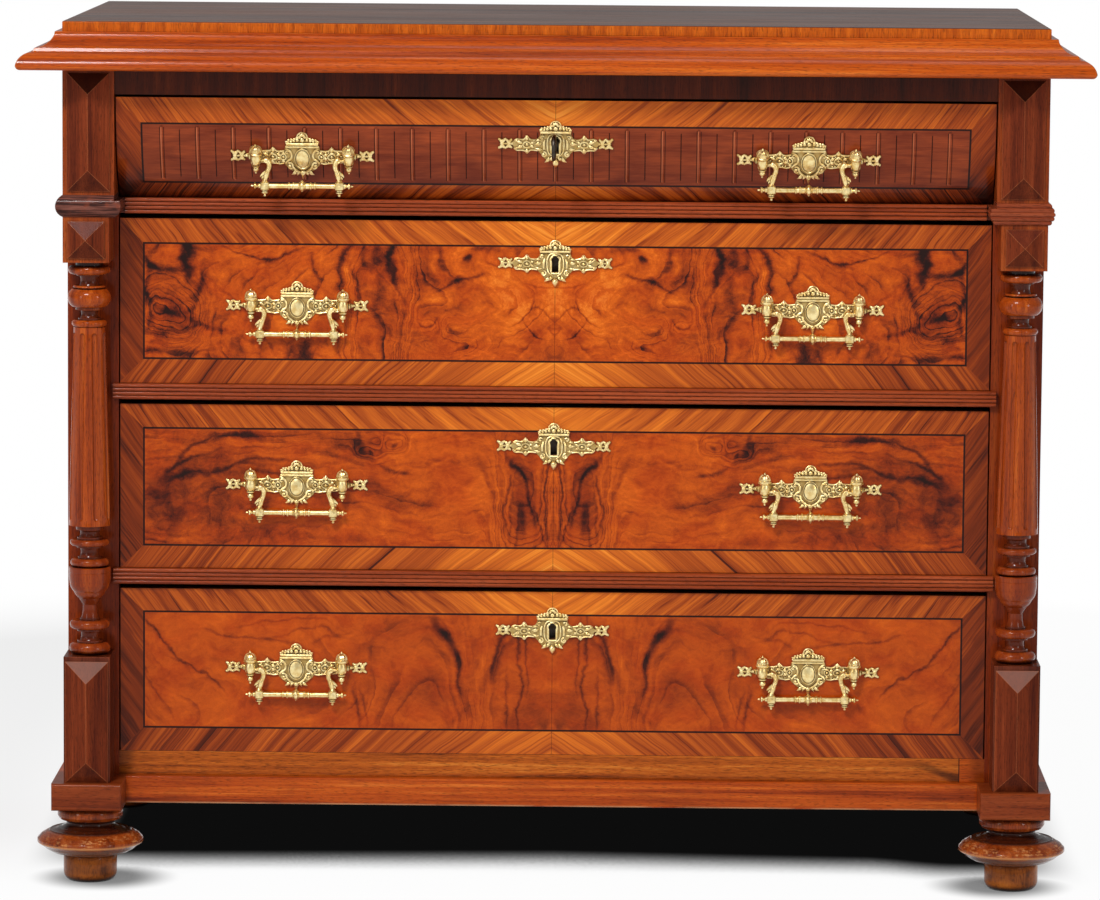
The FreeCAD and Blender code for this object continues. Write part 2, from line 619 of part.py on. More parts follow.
def column():
    """One turned column: base, urn, tapered fluted shaft and capital rings."""
    below, urn_start = turnings(TURNINGS_BELOW, PEDESTAL_TOP)
    urn = [(point[0], urn_start + point[1]) + point[2:] for point in URN]
    above, shaft_start = turnings(TURNINGS_ABOVE_URN, urn_start + URN[-1][1])
    cap_height = sum(step[0] for step in TURNINGS_ABOVE_SHAFT)
    shaft_end = CAPITAL_BOTTOM - cap_height
    cap, _ = turnings(TURNINGS_ABOVE_SHAFT, shaft_end)
    shaft = [(SHAFT_BOTTOM_RADIUS, shaft_start), (SHAFT_TOP_RADIUS, shaft_end)]
    profile = [(0, PEDESTAL_TOP)] + below + urn + above + shaft + cap + [(0, CAPITAL_BOTTOM)]
    whole = turned(profile)
    low = V(SHAFT_BOTTOM_RADIUS + FLUTE_RADIUS - FLUTE_DEPTH, 0, shaft_start + FLUTE_MARGIN)
    high = V(SHAFT_TOP_RADIUS + FLUTE_RADIUS - FLUTE_DEPTH, 0, shaft_end - FLUTE_MARGIN)
    run = high - low
    flute = Part.makeCylinder(FLUTE_RADIUS, run.Length, low, run)
    flute = flute.fuse([Part.makeSphere(FLUTE_RADIUS, low), Part.makeSphere(FLUTE_RADIUS, high)])
    cutters = []
    for n in range(COLUMN_FLUTES):
        cutter = flute.copy()
        cutter.rotate(V(0, 0, 0), V(0, 0, 1), 360.0 / COLUMN_FLUTES * (n + 0.5) - 90)
        cutters.append(cutter)
    whole = whole.cut(cutters)
    whole.translate(V(AXIS_X, AXIS_Y, 0))
    return whole


# ---------------------------------------------------------------- drawers
def front_edges(number):
    """Lower and upper edge of a drawer front."""
    low = FLOORS[number] + SLIDE_GAP
    return low, low + FRONT_HEIGHTS[number]


def bow_angle(height):
    """How far round the curved front a height lies, in radians from its top edge."""
    return math.asin((BOW_CENTRE_Z - height) / BOW_RADIUS)


def bow_point(radius, angle):
    """Depth and height of a point on the curved front."""
    return BOW_CENTRE_Y - radius * math.cos(angle), BOW_CENTRE_Z - radius * math.sin(angle)


def bow_cylinder(radius, half_length):
    return Part.makeCylinder(radius, 2 * half_length, V(-half_length, BOW_CENTRE_Y, BOW_CENTRE_Z), V(1, 0, 0))


def lock_middle_y(number):
    """Depth of the lock's middle: let into the back of the front."""
    if number == 0:
        return BOW_TOP_Y + BOW_LOCK_DEPTH + LOCK_THICKNESS / 2
    return FRONT_BACK_Y - LOCK_THICKNESS / 2


def keyhole_height(number):
    return front_edges(number)[1] - KEYHOLE_DROPS[number]


def keyhole(number, y0, y1):
    """A keyhole prism: round at the top with a straight slot below."""
    middle = keyhole_height(number)
    round_z = middle + KEYHOLE_HEIGHT / 2 - KEYHOLE_ROUND
    barrel = Part.makeCylinder(KEYHOLE_ROUND, y1 - y0, V(0, y0, round_z), V(0, 1, 0))
    half = KEYHOLE_SLOT / 2
    return barrel.fuse(box(-half, half, y0, y1, middle - KEYHOLE_HEIGHT / 2, round_z))


def lock_block(number):
    """Space of a lock case, flush with the top edge of the drawer front."""
    middle = lock_middle_y(number)
    top = front_edges(number)[1]
    return box(-LOCK_WIDTH / 2, LOCK_WIDTH / 2, middle - LOCK_THICKNESS / 2,
               middle + LOCK_THICKNESS / 2, top - LOCK_HEIGHT, top)


def tails(number, side_height):
    """Dovetails at the front end of the right-hand drawer side."""
    low, _ = front_edges(number)
    pitch = side_height / TAILS
    pieces = []
    for n in range(TAILS):
        middle = low + pitch * (n + 0.5)
        wide = (pitch - PIN_WIDTH) / 2
        narrow = wide - TAIL_FLARE
        tail = face(across, [(FRONT_BACK_Y, middle - narrow), (TAIL_END_Y, middle - wide),
                             (TAIL_END_Y, middle + wide), (FRONT_BACK_Y, middle + narrow)])
        tail = tail.extrude(V(DRAWER_SIDE, 0, 0))
        tail.translate(V(DRAWER_INNER, 0, 0))
        pieces.append(tail)
    return pieces


def face_cutters():
    """Round-ended flutes down the curved front, with a fine line between each two."""
    radius = (FACE_FLUTE_WIDTH ** 2 / 4 + FACE_FLUTE_DEPTH ** 2) / (2 * FACE_FLUTE_DEPTH)
    track = BOW_RADIUS + radius - FACE_FLUTE_DEPTH
    first = bow_angle(BOW_CENTRE_Z - FACE_FLUTE_TOP)
    last = bow_angle(BOW_CENTRE_Z - FACE_FLUTE_BOTTOM)
    shorter = LINE_SHORTER / BOW_RADIUS
    axis_at, axis = V(0, BOW_CENTRE_Y, BOW_CENTRE_Z), V(1, 0, 0)
    y0, z0 = bow_point(track, first)
    y1, z1 = bow_point(track, last)
    section = Part.Wire(Part.Circle(V(0, y0, z0), V(0, -math.sin(first), math.cos(first)), radius).toShape())
    flute = Part.Face(section).revolve(axis_at, axis, math.degrees(last - first))
    flute = flute.fuse([Part.makeSphere(radius, V(0, y0, z0)), Part.makeSphere(radius, V(0, y1, z1))])
    reach = BOW_RADIUS + LINE_DEPTH
    line = face(lying, [(-LINE_WIDTH / 2, BOW_CENTRE_Y - reach), (LINE_WIDTH / 2, BOW_CENTRE_Y - reach),
                        (0, BOW_CENTRE_Y - BOW_RADIUS + LINE_DEPTH)])
    line.translate(V(0, 0, BOW_CENTRE_Z))
    line.rotate(axis_at, axis, math.degrees(first + shorter))
    line = line.revolve(axis_at, axis, math.degrees(last - first - 2 * shorter))
    cutters = []
    pitch = 2 * (DRAWER_HALF - FACE_FLUTE_INSET) / (FLUTES - 1)
    for n in range(FLUTES):
        place = pitch * (n - (FLUTES - 1) / 2)
        cutter = flute.copy()
        cutter.translate(V(place, 0, 0))
        cutters.append(cutter)
        if n:
            cutter = line.copy()
            cutter.translate(V(place - pitch / 2, 0, 0))
            cutters.append(cutter)
    return cutters


def drawer_front(number):
    low, high = front_edges(number)
    groove_low = low + BOTTOM_RAISE
    groove_half = DRAWER_INNER + (GROOVE_DEPTH if number == 0 else 0)
    if number == 0:
        lip = math.asin((BOW_CENTRE_Y - FRONT_BACK_Y) / BOW_INNER_RADIUS)
        outer_low, outer_top = (FACE_Y, low), (BOW_TOP_Y, high)
        inner_top = (BOW_TOP_Y + BOW_THICKNESS, high)
        inner_low = bow_point(BOW_INNER_RADIUS, math.pi / 2 - lip)
        profile = [(FRONT_BACK_Y, low), outer_low,
                   outer_top + (sagitta(BOW_RADIUS, outer_low, outer_top),), inner_top,
                   inner_low + (-sagitta(BOW_INNER_RADIUS, inner_top, inner_low),)]
        front = face(across, profile).extrude(V(2 * DRAWER_HALF, 0, 0))
        front.translate(V(-DRAWER_HALF, 0, 0))
        front = front.cut(face_cutters())
    else:
        front = box(-DRAWER_HALF, DRAWER_HALF, FACE_Y, FRONT_BACK_Y, low, high)
        joints = tails(number, high - low - SIDE_DROP)
        front = front.cut(joints + [mirrored(tail) for tail in joints])
    groove = box(-groove_half, groove_half, FRONT_BACK_Y - FRONT_GROOVE, FRONT_BACK_Y,
                 groove_low, groove_low + BOTTOM_THICKNESS)
    hole = keyhole(number, -DEPTH / 2, lock_middle_y(number))
    return front.cut([groove, lock_block(number), hole])


def drawer_sides(number):
    """Both sides, dovetailed to the front and grooved for the bottom, and the back."""
    low, high = front_edges(number)
    side_top = high - SIDE_DROP
    side_board = box(DRAWER_INNER, DRAWER_HALF, FRONT_BACK_Y, DRAWER_END_Y, low, side_top)
    if number == 0:
        ahead = box(DRAWER_INNER, DRAWER_HALF, FRIEZE_Y, FRONT_BACK_Y, low, side_top)
        ahead = ahead.common(bow_cylinder(BOW_INNER_RADIUS, DRAWER_HALF))
        side_board = side_board.fuse(ahead)
    else:
        side_board = side_board.fuse(tails(number, side_top - low))
    groove_low = low + BOTTOM_RAISE
    groove = box(DRAWER_INNER, DRAWER_INNER + GROOVE_DEPTH, FRIEZE_Y, DRAWER_END_Y,
                 groove_low, groove_low + BOTTOM_THICKNESS)
    side_board = side_board.cut(groove).removeSplitter()
    back = box(-DRAWER_INNER, DRAWER_INNER, DRAWER_END_Y - DRAWER_SIDE, DRAWER_END_Y,
               groove_low + BOTTOM_THICKNESS, side_top - BACK_DROP)
    return group(side_board, mirrored(side_board), back)


def drawer_bottom(number):
    groove_low = front_edges(number)[0] + BOTTOM_RAISE
    half = DRAWER_INNER + GROOVE_DEPTH
    return box(-half, half, FRONT_BACK_Y - FRONT_GROOVE, DRAWER_END_Y,
               groove_low, groove_low + BOTTOM_THICKNESS)


# ---------------------------------------------------------------- locks and key
def drawer_lock(number):
    """A thin lock case with a selvedge on top, a slot for the bolt and a keyhole."""
    middle = lock_middle_y(number)
    top = front_edges(number)[1]
    case = lock_block(number)
    half = LOCK_WIDTH / 2 - LOCK_PLATE
    deep = LOCK_THICKNESS / 2 - LOCK_PLATE
    room = box(-half, half, middle - deep, middle + deep,
               top - LOCK_HEIGHT + LOCK_PLATE, top - SELVEDGE)
    slot_half, slot_deep = BOLT_WIDTH / 2 + BOLT_GAP, BOLT_THICKNESS / 2 + BOLT_GAP
    slot = box(-slot_half, slot_half, middle - slot_deep, middle + slot_deep, top - LOCK_HEIGHT / 2, top)
    return case.cut([room, slot, keyhole(number, middle - LOCK_THICKNESS, middle)])


def lock_bolt(number):
    """The bolt, drawn down flush with the drawer's edge."""
    middle = lock_middle_y(number)
    top = front_edges(number)[1] - BOLT_GAP
    return box(-BOLT_WIDTH / 2, BOLT_WIDTH / 2, middle - BOLT_THICKNESS / 2,
               middle + BOLT_THICKNESS / 2, top - BOLT_HEIGHT, top)


def key_pivot():
    """Where the key's axis meets the middle of the top drawer's lock."""
    return V(0, lock_middle_y(0), keyhole_height(0) + KEYHOLE_HEIGHT / 2 - KEYHOLE_ROUND)


def key():
    """A small key with a round bow, drawn along -Y and then let hang in the lock."""
    out = V(0, -1, 0)
    start = V(0, LOCK_THICKNESS / 2 - LOCK_PLATE - KEY_END_GAP, 0)
    shank = Part.makeCylinder(SHANK_RADIUS, SHANK_LENGTH + start.y, start, out)
    bit = box(-BIT_THICKNESS / 2, BIT_THICKNESS / 2, -BIT_WIDTH / 2, BIT_WIDTH / 2, -BIT_LENGTH, 0)
    ring = Part.makeCylinder(KEY_COLLAR_RADIUS, KEY_COLLAR_WIDTH, V(0, -KEY_COLLAR_PLACE, 0), out)
    bow = Part.makeTorus(KEY_BOW_RADIUS, KEY_BOW_WIRE, V(0, -SHANK_LENGTH - KEY_BOW_RADIUS, 0), V(1, 0, 0))
    whole = shank.fuse([bit, ring, bow])
    whole.rotate(V(0, 0, 0), V(1, 0, 0), KEY_DROOP)
    whole.rotate(V(0, 0, 0), V(0, 0, 1), -KEY_LEAN)
    whole.translate(key_pivot())
    return whole


# ---------------------------------------------------------------- brass
def plate_spot(number, height):
    """Depth, height and lean of the drawer face where a plate is pinned on."""
    if number:
        return FACE_Y, height, 0.0
    angle = bow_angle(height)
    y, z = bow_point(BOW_RADIUS, angle)
    return y, z, angle


def plate_body(number, outline, x, height):
    """A thin cast plate that follows the drawer face."""
    other_half = [(-a, b) for a, b in reversed(outline) if a > 0]
    blank = face(facing, [(x + a, height + b) for a, b in outline + other_half])
    if number:
        blank.translate(V(0, FACE_Y - PLATE_THICKNESS, 0))
        return blank.extrude(V(0, PLATE_THICKNESS, 0))
    blank.translate(V(0, -DEPTH / 2, 0))
    prism = blank.extrude(V(0, DEPTH / 2 + FACE_Y, 0))
    skin = bow_cylinder(BOW_RADIUS + PLATE_THICKNESS, WIDTH).cut(bow_cylinder(BOW_RADIUS, WIDTH))
    return prism.common(skin)


def leaned(shape, number, x, height):
    """Stands a piece that was drawn at the origin on the drawer face at this place."""
    y, z, lean = plate_spot(number, height)
    shape.rotate(V(0, 0, 0), V(1, 0, 0), math.degrees(lean))
    shape.translate(V(x, y, z))
    return shape


def pivot_spot(number, height):
    """Depth and height of a pull's hinge line."""
    y, z, lean = plate_spot(number, height)
    along, up = -POST_STAND, PIVOT_RISE
    return y + along * math.cos(lean) - up * math.sin(lean), z + along * math.sin(lean) + up * math.cos(lean)


def pull_plate(number, x):
    """Back plate of a pull with its oval boss and the two urn-shaped posts."""
    height = FLOORS[number] + PULL_HEIGHTS[number]
    plate = plate_body(number, PULL_OUTLINE, x, height)
    boss = Part.Ellipse(V(0, 0, 0), BOSS_HALF_HEIGHT, BOSS_HALF_WIDTH).toShape()
    boss = Part.Face(Part.Wire(boss)).extrude(V(0, 0, PLATE_THICKNESS + BOSS_PROUD))
    boss.rotate(V(0, 0, 0), V(0, 0, 1), 90)
    boss.rotate(V(0, 0, 0), V(1, 0, 0), 90)
    extras = [leaned(boss, number, x, height)]
    hinge_y, hinge_z = pivot_spot(number, height)
    holes = []
    for way in (-1, 1):
        urn = turned(URN_PROFILE, way * POST_PLACE, -POST_STAND)
        extras.append(leaned(urn, number, x, height))
        mouth = V(x + way * (POST_PLACE - POST_RADIUS - PIN_DEPTH), hinge_y, hinge_z)
        holes.append(Part.makeCylinder(PIN_RADIUS + PIN_GAP, 2 * PIN_DEPTH, mouth, V(way, 0, 0)))
    whole = plate.fuse(extras).cut(holes)
    # nothing of the casting goes into the wood
    if number:
        return whole.cut(box(-WIDTH, WIDTH, FACE_Y, DEPTH, 0, HEIGHT))
    return whole.cut(bow_cylinder(BOW_RADIUS, WIDTH))


def escutcheon(number):
    """Plate around a keyhole."""
    plate = plate_body(number, KEYHOLE_OUTLINE, 0, keyhole_height(number))
    return plate.cut(keyhole(number, -DEPTH / 2, FACE_Y + PLATE_THICKNESS))


def drawer_brass(number):
    place = DRAWER_HALF - PULL_INSETS[number]
    return group(pull_plate(number, -place), pull_plate(number, place), escutcheon(number))


def spun_bar(points):
    """A bar turned about the X axis from (radius, place) points of one half."""
    half = face(lambda a, b: V(b, 0, a), points).revolve(V(0, 0, 0), V(1, 0, 0), 360)
    return half.fuse(mirrored(half))


def scroll(reach, climb):
    """Half of a bail's arm: a round rod that bends outwards from the waist, up or down."""
    bend = (reach ** 2 + climb ** 2) / (2 * reach)
    ring = Part.Circle(V(ARM_WAIST_PLACE, 0, -ARM_WAIST_DROP), V(0, 0, 1), ARM_RADIUS).toShape()
    centre = V(ARM_WAIST_PLACE + bend, 0, -ARM_WAIST_DROP)
    return Part.Face(Part.Wire(ring)).revolve(centre, V(0, 1, 0), math.degrees(math.asin(climb / bend)))


def bail(number, x):
    """A swinging handle: two scrolled arms, blocks with drops, and a turned bar."""
    bar = spun_bar(BAR_TURNING)
    bar.translate(V(0, 0, -BAIL_DROP))
    half = BAIL_BLOCK / 2
    pin_end = POST_PLACE - POST_RADIUS + PIN_DEPTH - PIN_GAP
    arm = [scroll(ARM_TOP_PLACE - ARM_WAIST_PLACE, ARM_WAIST_DROP),
           scroll(BLOCK_PLACE - ARM_WAIST_PLACE, ARM_WAIST_DROP - BAIL_DROP),
           Part.makeSphere(EYE_RADIUS, V(ARM_TOP_PLACE, 0, 0)),
           Part.makeCylinder(PIN_RADIUS, pin_end - ARM_TOP_PLACE, V(ARM_TOP_PLACE, 0, 0), V(1, 0, 0)),
           box(BLOCK_PLACE - half, BLOCK_PLACE + half, -half, half, -BAIL_DROP - half, -BAIL_DROP + half),
           turned(DROP_TURNING, BLOCK_PLACE, 0, -BAIL_DROP - half)]
    whole = bar.fuse(arm + [mirrored(piece) for piece in arm]).removeSplitter()
    y, z = pivot_spot(number, FLOORS[number] + PULL_HEIGHTS[number])
    whole.translate(V(x, y, z))
    return whole


# ---------------------------------------------------------------- every node of the chest
NODES = {
    "top_slab": top_slab,
    "cornice_front": cornice_front,
    "cornice_sides": cornice_sides,
    "side_right": side,
    "side_left": lambda: mirrored(side()),
    "back_panel": back_panel,
    "under_top": under_top,
    "bottom_board": bottom_board,
    "stiles": stiles,
    "frieze_rail": frieze_rail,
    "frieze_posts": frieze_posts,
    "collars": collars,
    "capital_blocks": capital_blocks,
    "column_right": column,
    "column_left": lambda: mirrored(column()),
    "pedestals": pedestals,
    "applied_panels": applied_panels,
    "drawer_rails": drawer_rails,
    "reeded_strips": reeded_strips,
    "drawer_runners": drawer_runners,
    "drawer_guides": drawer_guides,
    "drawer_stops": drawer_stops,
    "bottom_rail": bottom_rail,
    "apron": apron,
    "plinth_blocks": plinth_blocks,
    "plinth_boards": plinth_boards,
    "feet": feet,
    "key": key,
}
for index in range(DRAWERS):
    name = "drawer_%d" % (index + 1)
    place = DRAWER_HALF - PULL_INSETS[index]
    NODES[name + "_front"] = lambda n=index: drawer_front(n)
    NODES[name + "_sides"] = lambda n=index: drawer_sides(n)
    NODES[name + "_bottom"] = lambda n=index: drawer_bottom(n)
    NODES[name + "_brass"] = lambda n=index: drawer_brass(n)
    NODES[name + "_lock"] = lambda n=index: drawer_lock(n)
    NODES["bolt_%d" % (index + 1)] = lambda n=index: lock_bolt(n)
    NODES["bail_%d_left" % (index + 1)] = lambda n=index, x=place: bail(n, -x)
    NODES["bail_%d_right" % (index + 1)] = lambda n=index, x=place: bail(n, x)

for node, make in NODES.items():
    make().exportStep("parts/%s.step" % node)
print(len(NODES), "nodes written")
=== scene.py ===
"""A chest of four drawers with turned corner columns and cast brass pulls, dressed around its frame.

Metres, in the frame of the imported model: the floor is at height 0 and the drawers open towards -Y.
"""
import math
import bpy
from mathutils import Matrix, Vector


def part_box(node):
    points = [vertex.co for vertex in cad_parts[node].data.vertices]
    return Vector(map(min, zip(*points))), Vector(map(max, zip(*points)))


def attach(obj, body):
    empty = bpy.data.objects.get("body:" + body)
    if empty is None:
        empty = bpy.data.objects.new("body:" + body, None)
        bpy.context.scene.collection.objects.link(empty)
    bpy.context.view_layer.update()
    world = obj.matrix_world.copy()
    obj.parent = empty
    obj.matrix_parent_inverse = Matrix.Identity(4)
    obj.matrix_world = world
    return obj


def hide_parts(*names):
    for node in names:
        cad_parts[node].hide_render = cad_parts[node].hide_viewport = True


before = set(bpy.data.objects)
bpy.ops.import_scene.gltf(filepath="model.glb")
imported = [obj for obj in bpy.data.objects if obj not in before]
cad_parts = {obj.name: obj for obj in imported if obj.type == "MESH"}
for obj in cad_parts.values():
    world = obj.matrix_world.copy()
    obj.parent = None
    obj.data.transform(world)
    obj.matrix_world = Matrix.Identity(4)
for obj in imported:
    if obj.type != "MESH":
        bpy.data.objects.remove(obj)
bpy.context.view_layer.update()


# ---------------------------------------------------------------- the studio
# A pale floor with the chest's shadow painted on it runs out to a white surround, and a long lens stands
# a little above the top of the chest. Two soft boxes stand in front, left and right, and a third hangs over it.
CAMERA_PLACE = (0.0797, -6.5136, 1.2150)
CAMERA_TURN, CAMERA_PITCH, CAMERA_ROLL = (math.radians(angle) for angle in (-0.76, 6.66, 0.443))
ahead = Vector((math.sin(CAMERA_TURN) * math.cos(CAMERA_PITCH),
                math.cos(CAMERA_TURN) * math.cos(CAMERA_PITCH), -math.sin(CAMERA_PITCH)))
level = Vector((math.cos(CAMERA_TURN), -math.sin(CAMERA_TURN), 0))
upright = level.cross(ahead)
sideways = level * math.cos(CAMERA_ROLL) + upright * math.sin(CAMERA_ROLL)
upright = upright * math.cos(CAMERA_ROLL) - level * math.sin(CAMERA_ROLL)
camera = bpy.data.objects.new("camera", bpy.data.cameras.new("camera"))
camera.data.sensor_fit = "HORIZONTAL"
camera.data.sensor_width = 36
camera.data.lens = 189.8
camera.data.clip_end = 200
camera.matrix_world = (Matrix.Translation(CAMERA_PLACE)
                       @ Matrix((sideways, upright, -ahead)).transposed().to_4x4())
bpy.context.scene.collection.objects.link(camera)
bpy.context.scene.camera = camera
bpy.context.scene.view_settings.view_transform = "Standard"


def soft_box(name, place, target, width, height, power):
    """A large square lamp that faces a point on the chest."""
    lamp = bpy.data.objects.new(name, bpy.data.lights.new(name, "AREA"))
    lamp.data.shape = "RECTANGLE"
    lamp.data.size, lamp.data.size_y = width, height
    lamp.data.energy = power
    lamp.matrix_world = (Matrix.Translation(place)
                         @ (Vector(target) - Vector(place)).to_track_quat("-Z", "Y").to_matrix().to_4x4())
    bpy.context.scene.collection.objects.link(lamp)


soft_box("high box", (-1.3, -3.2, 3.7), (0, -0.2, 0.5), 1.0, 0.7, 128)
soft_box("left box", (-3.0, -3.0, 1.6), (0, -0.2, 0.45), 0.6, 1.5, 19)
soft_box("right box", (2.9, -3.2, 1.7), (0, -0.2, 0.45), 0.6, 1.5, 26)
soft_box("overhead box", (0.4, 0.5, 3.4), (0, 0, 0), 1.8, 1.2, 10)


class Field:
    """A socket in a finish's nodes. Sums on fields add the Math nodes that work them out."""

    def __init__(self, tree, socket):
        self.tree, self.socket = tree, socket

    def node(self, kind, settings, values, out=0):
        """Adds one node: its settings first, then a value or a field for each of its sockets."""
        made = self.tree.nodes.new("ShaderNode" + kind)
        for name, value in settings.items():
            if name != "stops":
                setattr(made, name, value)
                continue
            ramp = made.color_ramp
            for n, (place, colour) in enumerate(value):
                stop = ramp.elements[n] if n < 2 else ramp.elements.new(place)
                stop.position, stop.color = place, colour
        for name, value in values.items():
            if isinstance(value, Field):
                self.tree.links.new(value.socket, made.inputs[name])
            else:
                made.inputs[name].default_value = value
        return Field(self.tree, made.outputs[out] if made.outputs else None)

    def maths(self, operation, *values):
        return self.node("Math", {"operation": operation}, dict(enumerate(values)))

    def __add__(self, other):
        return self.maths("ADD", self, other)

    def __sub__(self, other):
        return self.maths("SUBTRACT", self, other)

    def __rsub__(self, other):
        return self.maths("SUBTRACT", other, self)

    def __mul__(self, other):
        return self.maths("MULTIPLY", self, other)

    def __truediv__(self, other):
        return self.maths("DIVIDE", self, other)

    def __abs__(self):
        return self.maths("ABSOLUTE", self)

    __radd__ = __add__
    __rmul__ = __mul__

    def least(self, other):
        return self.maths("MINIMUM", self, other)

    def most(self, other):
        return self.maths("MAXIMUM", self, other)

    def ease(self, low, high):
        """Goes softly from 0 to 1 as this field goes from low to high."""
        return self.node("MapRange", {"interpolation_type": "SMOOTHSTEP"}, {0: self, 1: low, 2: high})

    def vector(self, operation, other, out=0):
        return self.node("VectorMath", {"operation": operation}, {0: self, 1: other}, out)

    def mix(self, low, high, how="MIX"):
        """Goes from one colour to another as this field goes from 0 to 1."""
        return self.node("Mix", {"data_type": "RGBA", "blend_type": how}, {0: self, 6: low, 7: high}, 2)

    def split(self):
        return [self.node("SeparateXYZ", {}, {0: self}, out) for out in range(3)]

    def join(self, *parts):
        """A new place from its parts across, out and up."""
        return self.node("CombineXYZ", {}, dict(enumerate(parts)))

    def length(self):
        return self.node("VectorMath", {"operation": "LENGTH"}, {0: self}, "Value")


def finish(name):
    """A new finish, and the place on the chest in metres as its first field."""
    material = bpy.data.materials.new(name)
    material.use_nodes = True
    material.node_tree.nodes.clear()
    return material, Field(material.node_tree, None).node("TexCoord", {}, {}, "Object")


def seen(field):
    """1 for rays from the lens, a mirror or glass, and 0 for light that falls on other things."""
    return sum((field.node("LightPath", {}, {}, out) for out in ("Is Glossy Ray", "Is Transmission Ray")),
               field.node("LightPath", {}, {}, "Is Camera Ray")).least(1)


def open_air(field, samples, reach):
    """1 in the open and 0 deep in a corner or a hollow, looking as far as this reach."""
    return field.node("AmbientOcclusion", {"samples": samples}, {"Distance": reach}, "AO")


FLOOR_RADIUS, FLOOR_SIDES = 60, 64
# metres from the middle of the chest: where the shadow painted on the floor under it starts, and where it is
# full
SHADOW_FRONT, SHADOW_BACK, SHADOW_SIDE = (-0.15, -0.02), (0.46, 0.26), (0.60, 0.50)
SHADOW_SLANT, SHADOW_RIGHT, SHADOW_RIGHT_REACH = 0.06, (0.35, 0.45), 0.03
FOOT_SHADOW_PLACE, FOOT_SHADOW, FOOT_SHADOW_DEPTH = (0.493, -0.214), (0.088, 0.030), 0.75
# where the paper glows white, and where and how deep a painted shade greys the floor on the left
GLOWING_PAPER, SHADE_LEFT, SHADE_FRONT, SHADE_DEPTH = (0.75, 2.2), (-0.4, -0.7), (-0.35, 0.1), 0.22
floor_mesh = bpy.data.meshes.new("floor")
floor_mesh.from_pydata([(FLOOR_RADIUS * math.cos(a), FLOOR_RADIUS * math.sin(a), 0)
                        for a in (math.tau * n / FLOOR_SIDES for n in range(FLOOR_SIDES))],
                       [], [list(range(FLOOR_SIDES))])
floor = bpy.data.objects.new("floor", floor_mesh)
bpy.context.scene.collection.objects.link(floor)
paper, here = finish("white paper floor")
x, y, _ = here.split()
# painted shadow of the chest on the floor: dark under it and round each foot, and darker wherever the chest
# stands close
edge = y + abs(x) * SHADOW_SLANT + x.ease(*SHADOW_RIGHT) * SHADOW_RIGHT_REACH
painted_shadow = edge.ease(*SHADOW_FRONT) * y.ease(*SHADOW_BACK) * abs(x).ease(*SHADOW_SIDE)
from_foot = here.join(abs(x) - FOOT_SHADOW_PLACE[0], y - FOOT_SHADOW_PLACE[1]).length()
painted_shadow = painted_shadow.most(from_foot.ease(*FOOT_SHADOW) * FOOT_SHADOW_DEPTH)
outside_painted_shadow = (1 - painted_shadow) * open_air(here, 8, 0.4).ease(0.0, 0.16)
lit = here.node("BsdfDiffuse", {}, {"Color": outside_painted_shadow.mix((0.02, 0.02, 0.02, 1), (0.86, 0.86, 0.86, 1))})
glow = here.node("Emission", {}, {"Color": outside_painted_shadow.mix((0.0042, 0.0042, 0.0042, 1), (1, 1, 1, 1)),
                                  "Strength": 1.0})
# painted shade that greys the floor towards the left front
dull = x.ease(*SHADE_LEFT) * y.ease(*SHADE_FRONT) * SHADE_DEPTH
glowing = (0.96 - dull).most(here.length().ease(*GLOWING_PAPER)) * seen(here)
whole = here.node("MixShader", {}, {0: glowing, 1: lit, 2: glow})
here.node("OutputMaterial", {}, {"Surface": whole})
floor_mesh.materials.append(paper)

world = bpy.data.worlds.new("studio")
bpy.context.scene.world = world
world.use_nodes = True
world.node_tree.nodes.clear()
sky = Field(world.node_tree, None)
from_lens = sky.node("LightPath", {}, {}, "Is Camera Ray")
from_gloss = sky.node("LightPath", {}, {}, "Is Glossy Ray")
brightness = (from_gloss * 0.10 + 0.21).most(from_lens)
light = sky.node("Background", {}, {"Color": (1, 1, 1, 1), "Strength": brightness})
sky.node("OutputWorld", {}, {"Surface": light})


# ---------------------------------------------------------------- top board
# A plain walnut board, french polished and dulled by use on its upper face, with a cross-grained
# strip of lighter walnut along its front and side edges.
def tone(code):
    """A colour from its six-digit code."""
    channels = [int(code[n:n + 2], 16) / 255 for n in (1, 3, 5)]
    return tuple(c / 12.92 if c < 0.04045 else ((c + 0.055) / 1.055) ** 2.4 for c in channels) + (1,)


def along(axis, length, width):
    """The size of a lump of grain: its length along the grain and its width across it."""
    return tuple(length if letter == axis else width for letter in "xyz")


def lumps(place, size, detail=2.0, rough=0.5, warp=0.0):
    """Soft random variation from 0 to 1, in lumps of this size."""
    near = place.vector("DIVIDE", size)
    return place.node("TexNoise", {}, {"Vector": near, "Scale": 1.0, "Detail": detail,
                                       "Roughness": rough, "Distortion": warp})


def shaded(shade, tones):
    """Tones from dark to light as a field goes from 0 to 1."""
    return shade.node("ValToRGB", {"stops": [(n / (len(tones) - 1), tone(code))
                                             for n, code in enumerate(tones)]}, {0: shade})


def walnut(place, axis, tones, figure=(0.45, 0.016), fibre=(0.05, 0.0013)):
    """Colour and relief of straight-grained walnut: broad figure, fine fibres and short pores."""
    broad = lumps(place, along(axis, *figure), 4, 0.55, 0.5)
    fine = lumps(place, along(axis, *fibre), 2, 0.6)
    pores = lumps(place, along(axis, 0.008, 0.0007), 1).ease(0.56, 0.68)
    colour = shaded(broad * 1.9 + fine * 0.8 - 0.85, tones)
    return (pores * 0.45).mix(colour, tone("#1c0802")), fine * 0.5 - pores * 0.5


